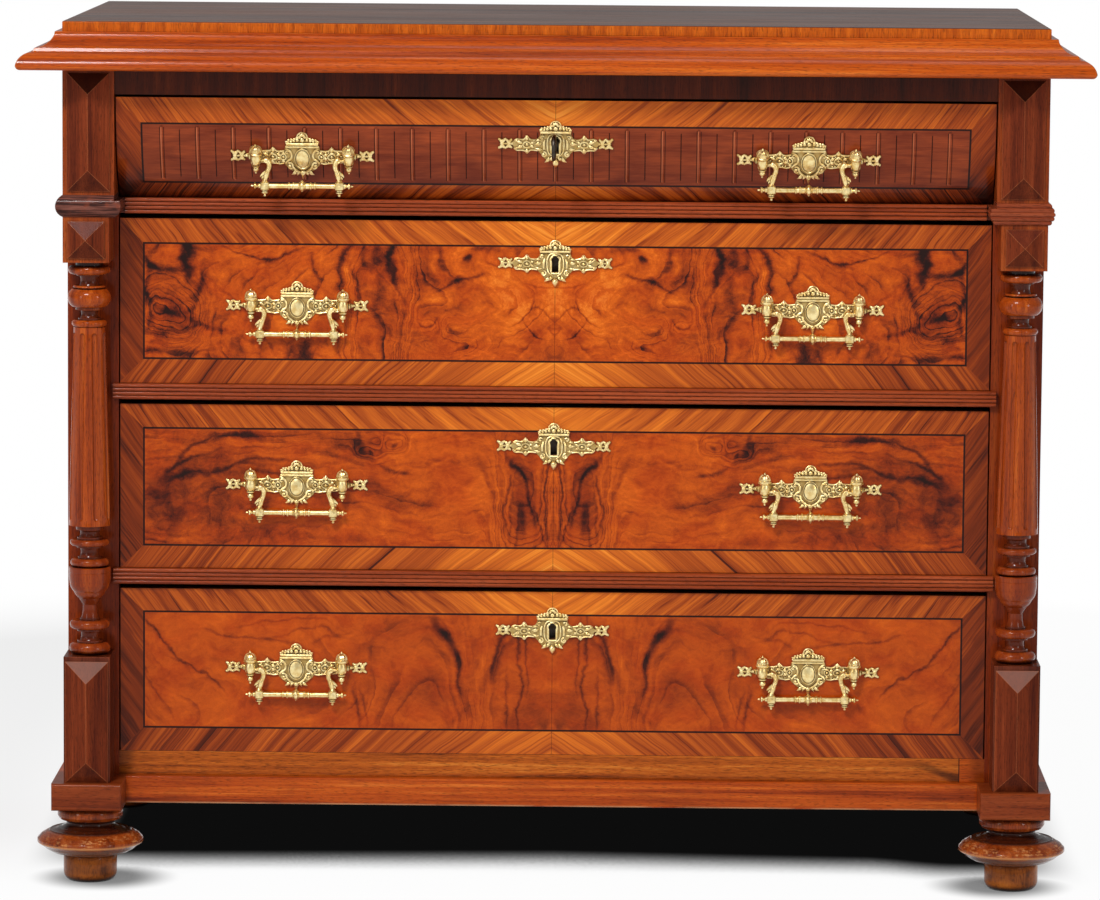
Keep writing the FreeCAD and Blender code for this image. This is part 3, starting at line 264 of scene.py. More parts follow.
def polish(place, material, colour, relief=0.5, rough=0.3, depth=0.00012, coat=0.25, round_edge=None):
    """French polish over a wood, with the relief of its open pores."""
    values = {"Height": relief, "Distance": depth, "Strength": 1.0}
    if round_edge:
        values["Normal"] = place.node("Bevel", {"samples": 4}, {0: round_edge})
    bump = place.node("Bump", {}, values)
    wood = place.node("BsdfPrincipled", {}, {
        "Base Color": colour, "Roughness": rough, "Normal": bump, "Specular IOR Level": 0.08,
        "Coat Weight": coat, "Coat Roughness": 0.09, "Coat IOR": 1.3})
    place.node("OutputMaterial", {}, {"Surface": wood})
    return material


def dress(material, *names):
    """Gives CAD pieces their finish."""
    for name in names:
        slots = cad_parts[name].data.materials
        slots.clear()
        slots.append(material)


def edge_wear_and_highlight(place, radius, faint=0.015, full=0.18):
    """Near 1 on edges: wear where hands and dusters have worn them, and a painted highlight on the hipped
    panels.
    """
    soft = place.node("Bevel", {"samples": 4}, {0: radius})
    flat = place.node("NewGeometry", {}, {}, "Normal")
    return (1 - soft.vector("DOT_PRODUCT", flat, "Value")).ease(faint, full)


TOP_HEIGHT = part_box("top_slab")[1].z
material, here = finish("top board walnut")
board, relief = walnut(here, "x", ["#2c1106", "#4a2412", "#6a3a1e", "#85502c"], (0.7, 0.03))
edging, _ = walnut(here, "z", ["#943a08", "#b6520d", "#cc6212", "#de761e"], (0.05, 0.006))
on_top = here.split()[2].ease(TOP_HEIGHT - 0.0012, TOP_HEIGHT - 0.0002)
dull = lumps(here, (0.16, 0.10, 0.1), 4, 0.6)
dress(polish(here, material, on_top.mix(edging, board), relief, dull * 0.22 + 0.22, round_edge=0.0012),
      "top_slab")


# ---------------------------------------------------------------- cornice
# A run of moulded walnut along the front, mitred to one at each side: a flat, a hollow, a small
# step and a round nose. The polish is thick in the hollow and rubbed through on the nose.
for name, axis in (("cornice_front", "x"), ("cornice_sides", "y")):
    material, here = finish(name.replace("_", " ") + " walnut")
    colour, relief = walnut(here, axis, ["#742604", "#a63f0a", "#c25410", "#de7424"], (0.6, 0.010))
    rub = edge_wear_and_highlight(here, 0.0022) * lumps(here, (0.05, 0.05, 0.05), 3).ease(0.35, 0.6)
    colour = (rub * 0.55).mix(colour, tone("#d8782c"))
    dress(polish(here, material, colour, relief, 0.26, coat=0.5, round_edge=0.0012), name)


# ---------------------------------------------------------------- sides, back and inner boards
# Walnut side boards, plain pine behind and inside, and stained beech stiles behind the columns.
# The pine was never polished, and age has browned it.
material, here = finish("side walnut")
colour, relief = walnut(here, "z", ["#48190a", "#6c2c10", "#803a16", "#96501e"], (0.5, 0.03))
dress(polish(here, material, colour, relief, 0.3, round_edge=0.001), "side_right", "side_left")


def grained(place, grain, depth, looks):
    """A surface with a fine grain and no polish."""
    bump = place.node("Bump", {}, {"Height": grain, "Distance": depth, "Strength": 1.0})
    bare = place.node("BsdfPrincipled", {}, {"Normal": bump, **looks})
    place.node("OutputMaterial", {}, {"Surface": bare})


def pine(name, axis, tones, *pieces):
    """Planed pine, unpolished and browned by age."""
    material, here = finish(name)
    rings = lumps(here, along(axis, 1.1, 0.018), 3, 0.5, 0.3)
    fine = lumps(here, along(axis, 0.07, 0.0012), 2, 0.6)
    dirt = lumps(here, (0.12, 0.12, 0.12), 4, 0.65).ease(0.5, 0.75)
    colour = (dirt * 0.35).mix(shaded(rings * 1.2 + fine * 0.4 - 0.3, tones), tone("#5a3c1e"))
    grained(here, fine, 0.0002, {"Base Color": colour, "Roughness": 0.75, "Specular IOR Level": 0.25})
    dress(material, *pieces)


INNER_PINE = ["#7d5a34", "#a67c4b", "#c19a66"]
pine("back pine", "z", ["#6b4a28", "#8f683c", "#ab8350"], "back_panel")
pine("inner pine", "x", INNER_PINE, "under_top", "bottom_board")
pine("runner pine", "y", INNER_PINE, "drawer_runners", "drawer_guides", "drawer_stops")
material, here = finish("stile stained wood")
colour, relief = walnut(here, "z", ["#481404", "#742608", "#8c340c", "#a44812"], (0.4, 0.014))
dress(polish(here, material, colour, relief, 0.34, round_edge=0.001), "stiles")


# ---------------------------------------------------------------- frieze rail, posts and hipped panels
# The rail under the cornice has its grain upright. The posts, blocks and pedestals are stained a
# deep red-brown, and each carries a hipped panel glued on, with painted light and shade on its facets
# and a painted highlight along its ridge and hips.
material, here = finish("frieze rail walnut")
# the dark tones are partly the rail's stain and partly painted shade from the cornice above
colour, relief = walnut(here, "z", ["#2a0d02", "#401505", "#4c1a05", "#60260a"], (0.2, 0.012))
dress(polish(here, material, colour, relief, 0.3, round_edge=0.001), "frieze_rail")

material, here = finish("post stained wood")
colour, relief = walnut(here, "z", ["#64240c", "#86360f", "#984216", "#ae5824"], (0.4, 0.014))
lower, _ = walnut(here, "z", ["#3c1408", "#5a2210", "#6a2e18", "#7e3c24"], (0.4, 0.014))
colour = here.split()[2].ease(0.40, 0.39).mix(colour, lower)
rub = edge_wear_and_highlight(here, 0.002) * lumps(here, (0.03, 0.03, 0.03), 3).ease(0.4, 0.6)
colour = (rub * 0.45).mix(colour, tone("#b05028"))
dress(polish(here, material, colour, relief, 0.3, round_edge=0.001),
      "frieze_posts", "capital_blocks", "pedestals")

material, here = finish("hipped panel stained wood")
colour, relief = walnut(here, "z", ["#40140a", "#642610", "#7a3216", "#964422"], (0.4, 0.014))
_, _, z = here.split()
_, _, tilt = here.node("NewGeometry", {}, {}, "Normal").split()
faces_up, faces_down = tilt.ease(0.08, 0.20), tilt.ease(-0.08, -0.20)
# painted light on the upper facets: a painted shadow of the cornice on the posts, a painted pale sheen
# on the pedestals, and painted half-shade on the capitals
colour = (faces_up * z.ease(0.80, 0.84) * 0.85).mix(colour, tone("#240a04"))
colour = (faces_up * z.ease(0.32, 0.28) * 0.5).mix(colour, tone("#9a7468"))
colour = (faces_up * z.ease(0.60, 0.66) * z.ease(0.80, 0.76) * 0.5).mix(colour, tone("#5a2010"))
# painted shade on the facets that face down
colour = (faces_down * 0.40).mix(colour, tone("#2c1008"))
# a painted highlight along the edges, ridge and hips of each panel
colour = (edge_wear_and_highlight(here, 0.0011, 0.003, 0.03) * 0.6).mix(colour, tone("#b4683e"))
dress(polish(here, material, colour, relief, 0.5, coat=0.04, round_edge=0.0005), "applied_panels")


# ---------------------------------------------------------------- collars and reeded mouldings
# Turned and moulded beech stained to match. The left collar is worn smooth and nearly black, while
# the right one and the mouldings below the drawers keep their reeds, with shade painted dark between them.
material, here = finish("moulding stained wood")
colour, relief = walnut(here, "x", ["#6c2610", "#8e3a18", "#a44822", "#b85a32"], (0.5, 0.006))
# painted shade in the hollows between the reeds
colour = (1 - open_air(here, 4, 0.004)).ease(0.10, 0.85).mix(colour, tone("#300a04"))
dress(polish(here, material, colour, relief, 0.28, coat=0.4, round_edge=0.0006),
      "reeded_strips", "drawer_rails")

material, here = finish("collar stained wood")
colour, relief = walnut(here, "x", ["#6a2814", "#8a3c22", "#9a4a2c", "#ae5e40"], (0.5, 0.006))
worn = here.split()[0].ease(-0.4, -0.45) * lumps(here, (0.02, 0.02, 0.02), 3).ease(0.3, 0.55)
streaks = lumps(here, along("x", 0.04, 0.0016), 3, 0.6)
smooth = streaks.ease(0.35, 0.70).mix(tone("#2e1410"), tone("#8a5244"))
colour = worn.mix(colour, smooth)
dress(polish(here, material, colour, relief + worn * streaks * 3, worn * 0.16 + 0.26, 0.0004,
             round_edge=0.0006), "collars")


# ---------------------------------------------------------------- corner columns
# Turned walnut with a fluted shaft between necks and beads. The necks and flutes are painted dark as
# shade, and the turned parts below the shaft are the darkest.
BASE_HEIGHT, CAPITAL_HEIGHT = 0.1425, 0.0719
shaft_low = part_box("pedestals")[1].z + BASE_HEIGHT
shaft_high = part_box("capital_blocks")[0].z - CAPITAL_HEIGHT
material, here = finish("column walnut")
colour, relief = walnut(here, "z", ["#6a2006", "#92380a", "#ac480f", "#c6621c"], (0.3, 0.009))
x, y, z = here.split()
low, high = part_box("column_left")
radius = here.join(abs(x) + (low.x + high.x) / 2, y - (low.y + high.y) / 2).length()
turned = z.ease(shaft_low, shaft_low - 0.002).most(z.ease(shaft_high, shaft_high + 0.002))
# painted shade: the necks and other thin parts of the turnings darker than their crests
colour = (turned * radius.ease(0.0180, 0.0125) * 0.6).mix(colour, tone("#4a160a"))
colour = (turned * z.ease(0.50, 0.46) * 0.45).mix(colour, tone("#782c12"))
# painted shade in the flutes and other recesses
colour = (1 - open_air(here, 6, 0.012)).ease(0.10, 0.7).mix(colour, tone("#240802"))
dress(polish(here, material, colour, relief, 0.22, coat=0.55), "column_right", "column_left")


# ---------------------------------------------------------------- feet
# Four bun feet, each turned from one piece: a pad, a broad disc with a sharp rim, a polished hollow
# and a short cushion under the plinth. The rims are knocked and the pads have lost their stain. Painted
# shade darkens the hollow, the disc's underside, the foot of the pad and the recesses.
MM = 0.001
FOOT_ACROSS, FRONT_FOOT, REAR_FOOT, FOOT_CREASE = 507, -223, 239, 35
# radius and height in mm; a third number is how far the arc that leads to a point swells
FOOT_PROFILE = [(20.5, 0), (27.3, 3.4, 1.1), (29.3, 9, 0.4), (29.4, 26), (28.4, 28.6), (30.8, 29.6),
                (42.8, 32.2, -0.5), (44.4, 33.6), (51.2, 37.8, 0.6), (56.4, 41.4), (58.2, 44.4, 0.8),
                (56.6, 48, 0.7), (50.6, 52.8, 0.7), (45.4, 55.2, 0.4), (44.4, 56.4), (42.8, 55.8),
                (35, 58.4, -0.6), (28.6, 60.8, -0.6), (26.3, 63.6, -0.5), (27.2, 66.6, -0.4), (30.4, 67.4),
                (34.8, 70.4, 0.9), (35.8, 74, 0.5), (34.4, 79.4, 0.6), (33, 81.9)]
# heights in metres: where the pad ends, and where the disc, its underside and the hollow begin and end
PAD_TOP, DISC_LOW, DISC_HIGH, UNDERSIDE_TOP = (0.0300, 0.0280), (0.040, 0.043), (0.056, 0.052), (0.0405, 0.0385)
HOLLOW_LOW, HOLLOW_HIGH, RIM_HEIGHT = (0.0545, 0.0560), (0.0690, 0.0672), 0.0424


def arcs(profile):
    """Points along a turner's profile. A third number is the rise of an arc that leads to a point."""
    points = [profile[0][:2]]
    for here, there in zip(profile, profile[1:]):
        if len(there) == 3:
            run, climb = there[0] - here[0], there[1] - here[1]
            for step in range(1, 5):
                t = step / 5
                lift = 4 * t * (1 - t) * there[2] / math.hypot(run, climb)
                points.append((here[0] + run * t + climb * lift, here[1] + climb * t - run * lift))
        points.append(there[:2])
    return points


class Form:
    """A piece modelled in millimetres: across, up and out from where it is fixed."""

    def __init__(self):
        self.points, self.faces = [], []

    def skin(self, rings, closed=False):
        """Joins rings of points, and closes the first and last with a face unless they meet."""
        count, start = len(rings[0]), len(self.points)
        for ring in rings:
            self.points += [tuple(point) for point in ring]
        for n in range(len(rings) - (0 if closed else 1)):
            low, high = start + n * count, start + (n + 1) % len(rings) * count
            self.faces += [(low + k, low + (k + 1) % count, high + (k + 1) % count, high + k)
                           for k in range(count)]
        if not closed:
            self.faces += [tuple(range(start + count - 1, start - 1, -1)),
                           tuple(range(start + (len(rings) - 1) * count, start + len(rings) * count))]

    def turned(self, profile, place, axis="up", sides=18):
        """A turned form about an axis that runs up, across or out."""
        rings = []
        for radius, height in arcs(profile):
            ring = []
            for k in range(sides):
                angle = math.tau * k / sides
                u, v = max(radius, 0.02) * math.cos(angle), max(radius, 0.02) * math.sin(angle)
                ring.append({"up": (u, height, -v), "across": (height, u, v), "out": (u, v, height)}[axis])
            rings.append([Vector(place) + Vector(point) for point in ring])
        self.skin(rings)


def make(name, parts, material, crease):
    """One object of (form, place, lift) parts, which notes how far its points stand proud in mm."""
    points, faces, proud = [], [], []
    for form, place, lift in parts:
        faces += [tuple(len(points) + k for k in face) for face in form.faces]
        points += [Vector(place(*point)) * MM for point in form.points]
        proud += [point[2] + lift for point in form.points]
    mesh = bpy.data.meshes.new(name)
    mesh.from_pydata(points, [], faces)
    mesh.polygons.foreach_set("use_smooth", [True] * len(mesh.polygons))
    mesh.set_sharp_from_angle(angle=math.radians(crease))
    mesh.attributes.new("proud", "FLOAT", "POINT").data.foreach_set("value", proud)
    mesh.materials.append(material)
    made = bpy.data.objects.new(name, mesh)
    bpy.context.scene.collection.objects.link(made)
    return made


material, here = finish("foot walnut")
colour, relief = walnut(here, "z", ["#5c2008", "#88360e", "#a24a18", "#c06428"], (0.1, 0.012))
_, _, z = here.split()
pad, disc = z.ease(*PAD_TOP), z.ease(*DISC_LOW) * z.ease(*DISC_HIGH)
bare, _ = walnut(here, "z", ["#6a3210", "#a8581a", "#b8641c", "#cc7c2e"], (0.05, 0.022), (0.03, 0.002))
colour = pad.mix(colour, bare)
smudges = lumps(here, (0.012, 0.012, 0.010), 3).ease(0.52, 0.70) * 0.45
# dark smudges of dirt on the pad and cushion, and painted shade at the foot of the pad where it meets the floor
colour = (smudges * (1 - disc)).most(z.ease(0.0055, 0.001) * 0.7).mix(colour, tone("#3c1a0a"))
flecks = lumps(here, (0.007, 0.007, 0.0022), 3, 0.7).ease(0.50, 0.62)
flecks = flecks * lumps(here, (0.03, 0.03, 0.01), 2).ease(0.38, 0.58)
rim = abs(z - RIM_HEIGHT).ease(0.0022, 0.0006)
colour = (disc * flecks * 0.7).most(rim * 0.7).mix(colour, tone("#dc9658"))
# the disc's underside painted darker as shade
underside = z.ease(*UNDERSIDE_TOP) * (1 - pad)
colour = (underside * 0.75).mix(colour, tone("#6a4632"))
# the hollow under the cushion painted nearly black as shade
neck = z.ease(*HOLLOW_LOW) * z.ease(*HOLLOW_HIGH)
colour = (neck * 0.9).mix(colour, tone("#341208"))
# painted shade in the recesses
colour = (1 - open_air(here, 4, 0.014)).ease(0.25, 0.85).mix(colour, tone("#240b04"))
polish(here, material, colour, relief + flecks * -0.6, pad * 0.2 + 0.2, 0.0003, coat=0.6)
bun = Form()
bun.turned(FOOT_PROFILE, (0, 0, 0), sides=72)
for end, out in (("front", FRONT_FOOT), ("back", REAR_FOOT)):
    for side, across in (("left", -FOOT_ACROSS), ("right", FOOT_ACROSS)):
        foot = make("foot_%s_%s" % (end, side), [(bun, lambda a, b, c: (across + a, out - c, b), 0)],
                    material, FOOT_CREASE)
        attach(foot, "carcase")
        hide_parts("feet")


# ---------------------------------------------------------------- bottom rail, apron and plinth
# Straight-grained walnut. The bottom rail was patched at its right end with a lighter piece, and
# the lower edge of the apron is rubbed pale.
PATCH_START, SWIRL_HEIGHT = 0.4496, 0.131
material, here = finish("bottom rail walnut")
colour, relief = walnut(here, "x", ["#5e2608", "#a24c12", "#bc5e18", "#dc8430"], (0.5, 0.010), (0.012, 0.0012))
x, _, z = here.split()
patch, _ = walnut(here, "x", ["#8a3408", "#b0480e", "#c4560f", "#d86c1c"], (0.1, 0.010))
# a dark swirl in the grain dips towards the patch
from_swirl = (abs(z - SWIRL_HEIGHT + x.ease(0.40, 0.45) * 0.014)
              + lumps(here, along("x", 0.03, 0.006), 3) * 0.006)
colour = (from_swirl.ease(0.010, 0.004) * x.ease(0.36, 0.45) * 0.8).mix(colour, tone("#3a1806"))
colour = x.ease(PATCH_START - 0.0002, PATCH_START + 0.0002).mix(colour, patch)
colour = (abs(x - PATCH_START).ease(0.0009, 0.0004) * 0.85).mix(colour, tone("#2c0e04"))
# both ends of the rail painted darker: painted shade
end_painted_shade = (abs(x) - 0.455).ease(0.0, 0.016) * 0.45
colour = end_painted_shade.mix(colour, tone("#2c0e04"))
dress(polish(here, material, colour, relief, 0.3, round_edge=0.001), "bottom_rail")
material, here = finish("apron walnut")
colour, relief = walnut(here, "x", ["#5e1c08", "#a84210", "#c25616", "#e0782c"], (0.6, 0.009))
low_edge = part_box("apron")[0].z
rub = here.split()[2].ease(low_edge + 0.0024, low_edge + 0.0008)
rub = rub * lumps(here, along("x", 0.05, 0.02), 3).ease(0.30, 0.55)
colour = (rub * 0.7).mix(colour, tone("#d8a070"))
patches = lumps(here, along("x", 0.09, 0.05), 3, 0.6)
colour = (patches.ease(0.50, 0.72) * 0.4).mix(colour, tone("#7a300e"))
dress(polish(here, material, colour, relief, 0.28, round_edge=0.001), "apron", "plinth_boards")
material, here = finish("plinth block walnut")
colour, relief = walnut(here, "x", ["#5e220c", "#7c3212", "#8a3c18", "#a04e26"], (0.3, 0.010))
rub = edge_wear_and_highlight(here, 0.003) * lumps(here, (0.03, 0.03, 0.03), 3).ease(0.35, 0.6)
colour = (rub * 0.6).mix(colour, tone("#b86030"))
dress(polish(here, material, colour, relief, 0.28, round_edge=0.002), "plinth_blocks")


# ---------------------------------------------------------------- drawer fronts
# Each front is veneered: a crossbanded border with slanting grain, mitred at its corners and met
# in the middle, a dark line of stringing, and a field of book-matched burr walnut. The top one is
# curved and has a plain red field, cut with round-ended flutes and with fine lines between them.
STRING_WIDTH = 0.0021
BURR = ["#220c06", "#441609", "#6e260a", "#94380c", "#b4480c", "#ca580f", "#de6915", "#ef862a"]
BAND = ["#240b04", "#551d08", "#80300c", "#a34612", "#bd5918", "#d56c1c", "#ea8224", "#f79c3a"]
RED_FIELD = ["#3e1008", "#5e1f0c", "#722a12", "#84371a", "#97411e", "#b25026"]


def stroke(spot, x, z, angle, length, width, bend=0.0):
    """A soft mark, 1 along its middle. In millimetres: its middle, half its size and its bow."""
    near = spot.node("Mapping", {"vector_type": "TEXTURE"}, {
        0: spot, 1: (x * MM, z * MM, 0), 2: (0, 0, math.radians(angle)), 3: (length * MM, width * MM, 1)})
    u, v, _ = near.split()
    square = u * u
    v = v - square * (bend / width)
    fall = (square * square + v * v) * -1
    return fall.maths("EXPONENT", fall)


def wander(spot, scale, reach, detail=2.0):
    """Pushes a spot about by a soft random swirl of this reach in millimetres."""
    swirl = spot.node("TexNoise", {}, {"Vector": spot, "Scale": scale, "Detail": detail}, 1)
    return swirl.vector("SUBTRACT", (0.5, 0.5, 0.5)).vector("MULTIPLY", (2 * reach * MM, 2 * reach * MM, 0))


def burr_walnut(here, spot, flow, hills, strokes):
    """Book-matched burr: growth lines around hills, bent by swirls, with dark knots and veins."""
    bent = spot.vector("ADD", wander(spot, 13, flow[2])).vector("ADD", wander(spot, 70, flow[3], 3.0))
    crisp = bent.vector("ADD", wander(spot, 240, 1.5, 3.0))
    u, v, _ = bent.split()
    height = u * (flow[0] / MM) + v * (flow[1] / MM)
    busy = lumps(spot, (0.055, 0.045, 1), 2).ease(0.42, 0.66)
    for x, z, angle, length, width, rise, lines in hills:
        hill = stroke(bent, x, z, angle, length, width)
        height = height + hill * rise
        if lines:
            busy = busy + hill * lines
    rings = lumps(here.join(height * 0.9, v * 16, u * 9), (1, 1, 1), 5, 0.62)
    height = height + lumps(here.join(height * 0.35), (1, 1, 1), 2) * 2.4
    saw = height.maths("FRACT", height)
    vein = saw.ease(0.34, 0.0) * saw.ease(0.0, 0.05) * busy.least(1.6)
    cloud = lumps(bent, (0.020, 0.014, 1), 4, 0.6, 0.8)
    mottle = lumps(crisp, (0.0046, 0.0034, 1), 2, 0.6)
    fleck = lumps(spot, (0.0011, 0.0016, 1), 1, 0.5)
    shade = (rings + cloud * 0.7 + mottle * 0.3 + fleck * 0.18 - 1.09) * flow[6] + flow[5] - vein * flow[4]
    for x, z, angle, length, width, bow, depth in strokes:
        shade = shade - stroke(crisp, x, z, angle, length, width, bow) * (depth * 0.72)
    redder = lumps(bent, (0.045, 0.030, 1), 3, 0.55).ease(0.42, 0.64)
    return (redder * 0.5).mix(shaded(shade, BURR), (0.80, 0.52, 0.55, 1), "MULTIPLY"), rings


def crossbanding(here, from_middle, z, low, high, half, brighter=0.0):
    """Slanting streaks that run down to the outer ends above, and up to them below."""
    inside_x, inside_z = half - from_middle, (z - low).least(high - z)
    at_end = (inside_x - inside_z).ease(0.0003, -0.0003)
    below = (z - (low + high) / 2).ease(0.001, -0.001) * (1 - at_end)
    rise = (from_middle * 0.392 / 0.45 + 0.577) * from_middle
    slope = at_end * (from_middle * 1.40) + (1 - at_end) * rise
    across = z - slope * (1 - below * 2)
    lengthwise = from_middle * 0.8 + z * 0.6
    drift = lumps(here.join(from_middle, z), (0.07, 0.05, 1), 2) * 0.010
    banded = here.join(lengthwise, across + drift, below * 3.1 + at_end * 1.7)
    broad = lumps(banded, (0.24, 0.013, 1), 3, 0.6, 0.3)
    streaks = lumps(banded, (0.12, 0.0036, 1), 3, 0.65, 0.3)
    sparse = lumps(banded, (0.06, 0.022, 1), 2).ease(0.42, 0.58)
    dark = lumps(banded, (0.09, 0.0050, 1), 2, 0.5, 0.5).ease(0.54, 0.66) * sparse
    vein = lumps(banded, (0.14, 0.0024, 1), 1, 0.5, 0.4).ease(0.60, 0.68) * (1 - sparse * 0.6)
    lines = lumps(banded, (0.018, 0.0009, 1), 2, 0.6)
    outer = from_middle.ease(0.16, 0.46) * 0.13 + from_middle.ease(0.17, 0.0) * -0.24 + at_end * 0.13 - 0.03
    shade = broad * 1.0 + streaks * 0.50 + lines * 0.20 - dark * 0.22 - vein * 0.16
    shade = (shade - 0.85) * (1 - at_end * 0.45) + 0.52 - outer + brighter
    return shaded(shade, BAND), streaks * 0.4 + lines * 0.4


def veneered(number, string_box, flow=None, hills=(), strokes=()):
    """The finish of one drawer front, as border, stringing and field."""
    material, here = finish("drawer %d veneer" % number)
    x, y, z = here.split()
    half, low, high = (size * MM for size in string_box)
    from_middle = abs(x)
    spot = here.join(from_middle, z)
    inside = (half - from_middle).least((z - low).least(high - z))
    if flow:
        field, relief = burr_walnut(here, spot, flow, hills, strokes)
        band, streaks = crossbanding(here, from_middle, z, low, high, half, z.ease(0.26, 0.15) * -0.10)
        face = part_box("drawer_2_front")[0].y
        showing = y.ease(face + 0.0012, face + 0.0006)
    else:
        field, relief = fluted_field(here, x, z)
        in_shade = z.ease(0.790, 0.752)
        band, streaks = crossbanding(here, from_middle, z, low, high, half, in_shade * -0.30 + 0.05)
        out, up, bow = y - FACE_AXIS[0], z - FACE_AXIS[1], FACE_RADIUS
        showing = (out.maths("POWER", out, 2) + up * up).ease((bow - 0.0032) ** 2, (bow - 0.0026) ** 2)
    colour = inside.ease(-0.0002, 0.0002).mix(band, field)
    string = (abs(inside) - STRING_WIDTH / 2).ease(0.0003, -0.0003)
    colour = string.mix(colour, tone("#230d06"))
    joint = from_middle.ease(0.0006, 0.0001)
    colour = (joint * 0.55).mix(colour, tone("#2c0c02"))
    plain, _ = walnut(here, "x", ["#4a2a14", "#63391c", "#7a4a26"], (0.6, 0.02))
    colour = showing.mix(plain, colour)
    polish(here, material, colour, relief * 0.3 + streaks * 0.2, 0.30, 0.00008, coat=0.35, round_edge=0.0006)
    dress(material, "drawer_%d_front" % number)


FRONT_HALF, FLUTE_INSET, FLUTES = 476, 49.2, 23
FLUTE_PITCH = 2 * (FRONT_HALF - FLUTE_INSET) / (FLUTES - 1) * MM
FLUTED_HALF = FLUTES / 2 * FLUTE_PITCH - 0.2 * FLUTE_PITCH
FLUTE_MIDDLE, FLUTE_TALL, LINE_TALL = 0.8022, (0.0292, 0.0282), (0.0268, 0.0258)
face_low, face_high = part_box("drawer_1_front")
FACE_RISE, FACE_BOW = face_high.z - face_low.z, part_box("drawer_2_front")[0].y - face_low.y
FACE_RADIUS = (FACE_BOW ** 2 + FACE_RISE ** 2) / (2 * FACE_BOW)
FACE_AXIS = face_low.y + FACE_RADIUS, face_high.z


def fluted_field(here, x, z):
    """Red-brown plain veneer, lighter towards the top, with painted shade round the cuts, a painted highlight
    along one edge of each, and fine dark lines between them.
    """
    shade_of = here.join(x, z)
    waves = lumps(shade_of, (0.10, 0.007, 1), 3, 0.55, 1.0)
    patches = lumps(shade_of, (0.07, 0.025, 1), 3, 0.5, 0.8)
    fibre = lumps(shade_of, (0.02, 0.0010, 1), 2, 0.6)
    shade = waves * 0.75 + patches * 0.95 + fibre * 0.45 - 0.55
    # a little lighter in the middle, and lighter towards the top where the bowed front faces up: painted light
    colour = shaded(shade + abs(x).ease(0.35, 0.05) * 0.05 + z.ease(0.76, 0.83) * 0.10, RED_FIELD)
    place = x / FLUTE_PITCH
    from_flute = (place + 0.5).maths("FRACT", place + 0.5) - 0.5
    from_line = place.maths("FRACT", place) - 0.5
    in_field = abs(x).ease(FLUTED_HALF, FLUTED_HALF - 0.1 * FLUTE_PITCH)
    tall = abs(z - FLUTE_MIDDLE).ease(*FLUTE_TALL) * in_field
    tall_line = abs(z - FLUTE_MIDDLE).ease(*LINE_TALL) * in_field
    wide = from_flute * FLUTE_PITCH
    # a dark line round each flute: painted shade at its edges
    outline = abs(abs(wide) - 0.0022).ease(0.0009, 0.0002)
    colour = (outline * tall * 0.75).mix(colour, tone("#2e0b04"))
    # a pale stripe inside one edge of each flute: painted highlight
    flute_highlight = abs(wide + 0.0009).ease(0.0010, 0.0003)
    colour = (flute_highlight * tall * 0.75).mix(colour, tone("#d0734a"))
    line = (abs(from_line) * FLUTE_PITCH).ease(0.0009, 0.0003)
    colour = (line * tall_line * 0.8).mix(colour, tone("#260803"))
    return colour, waves


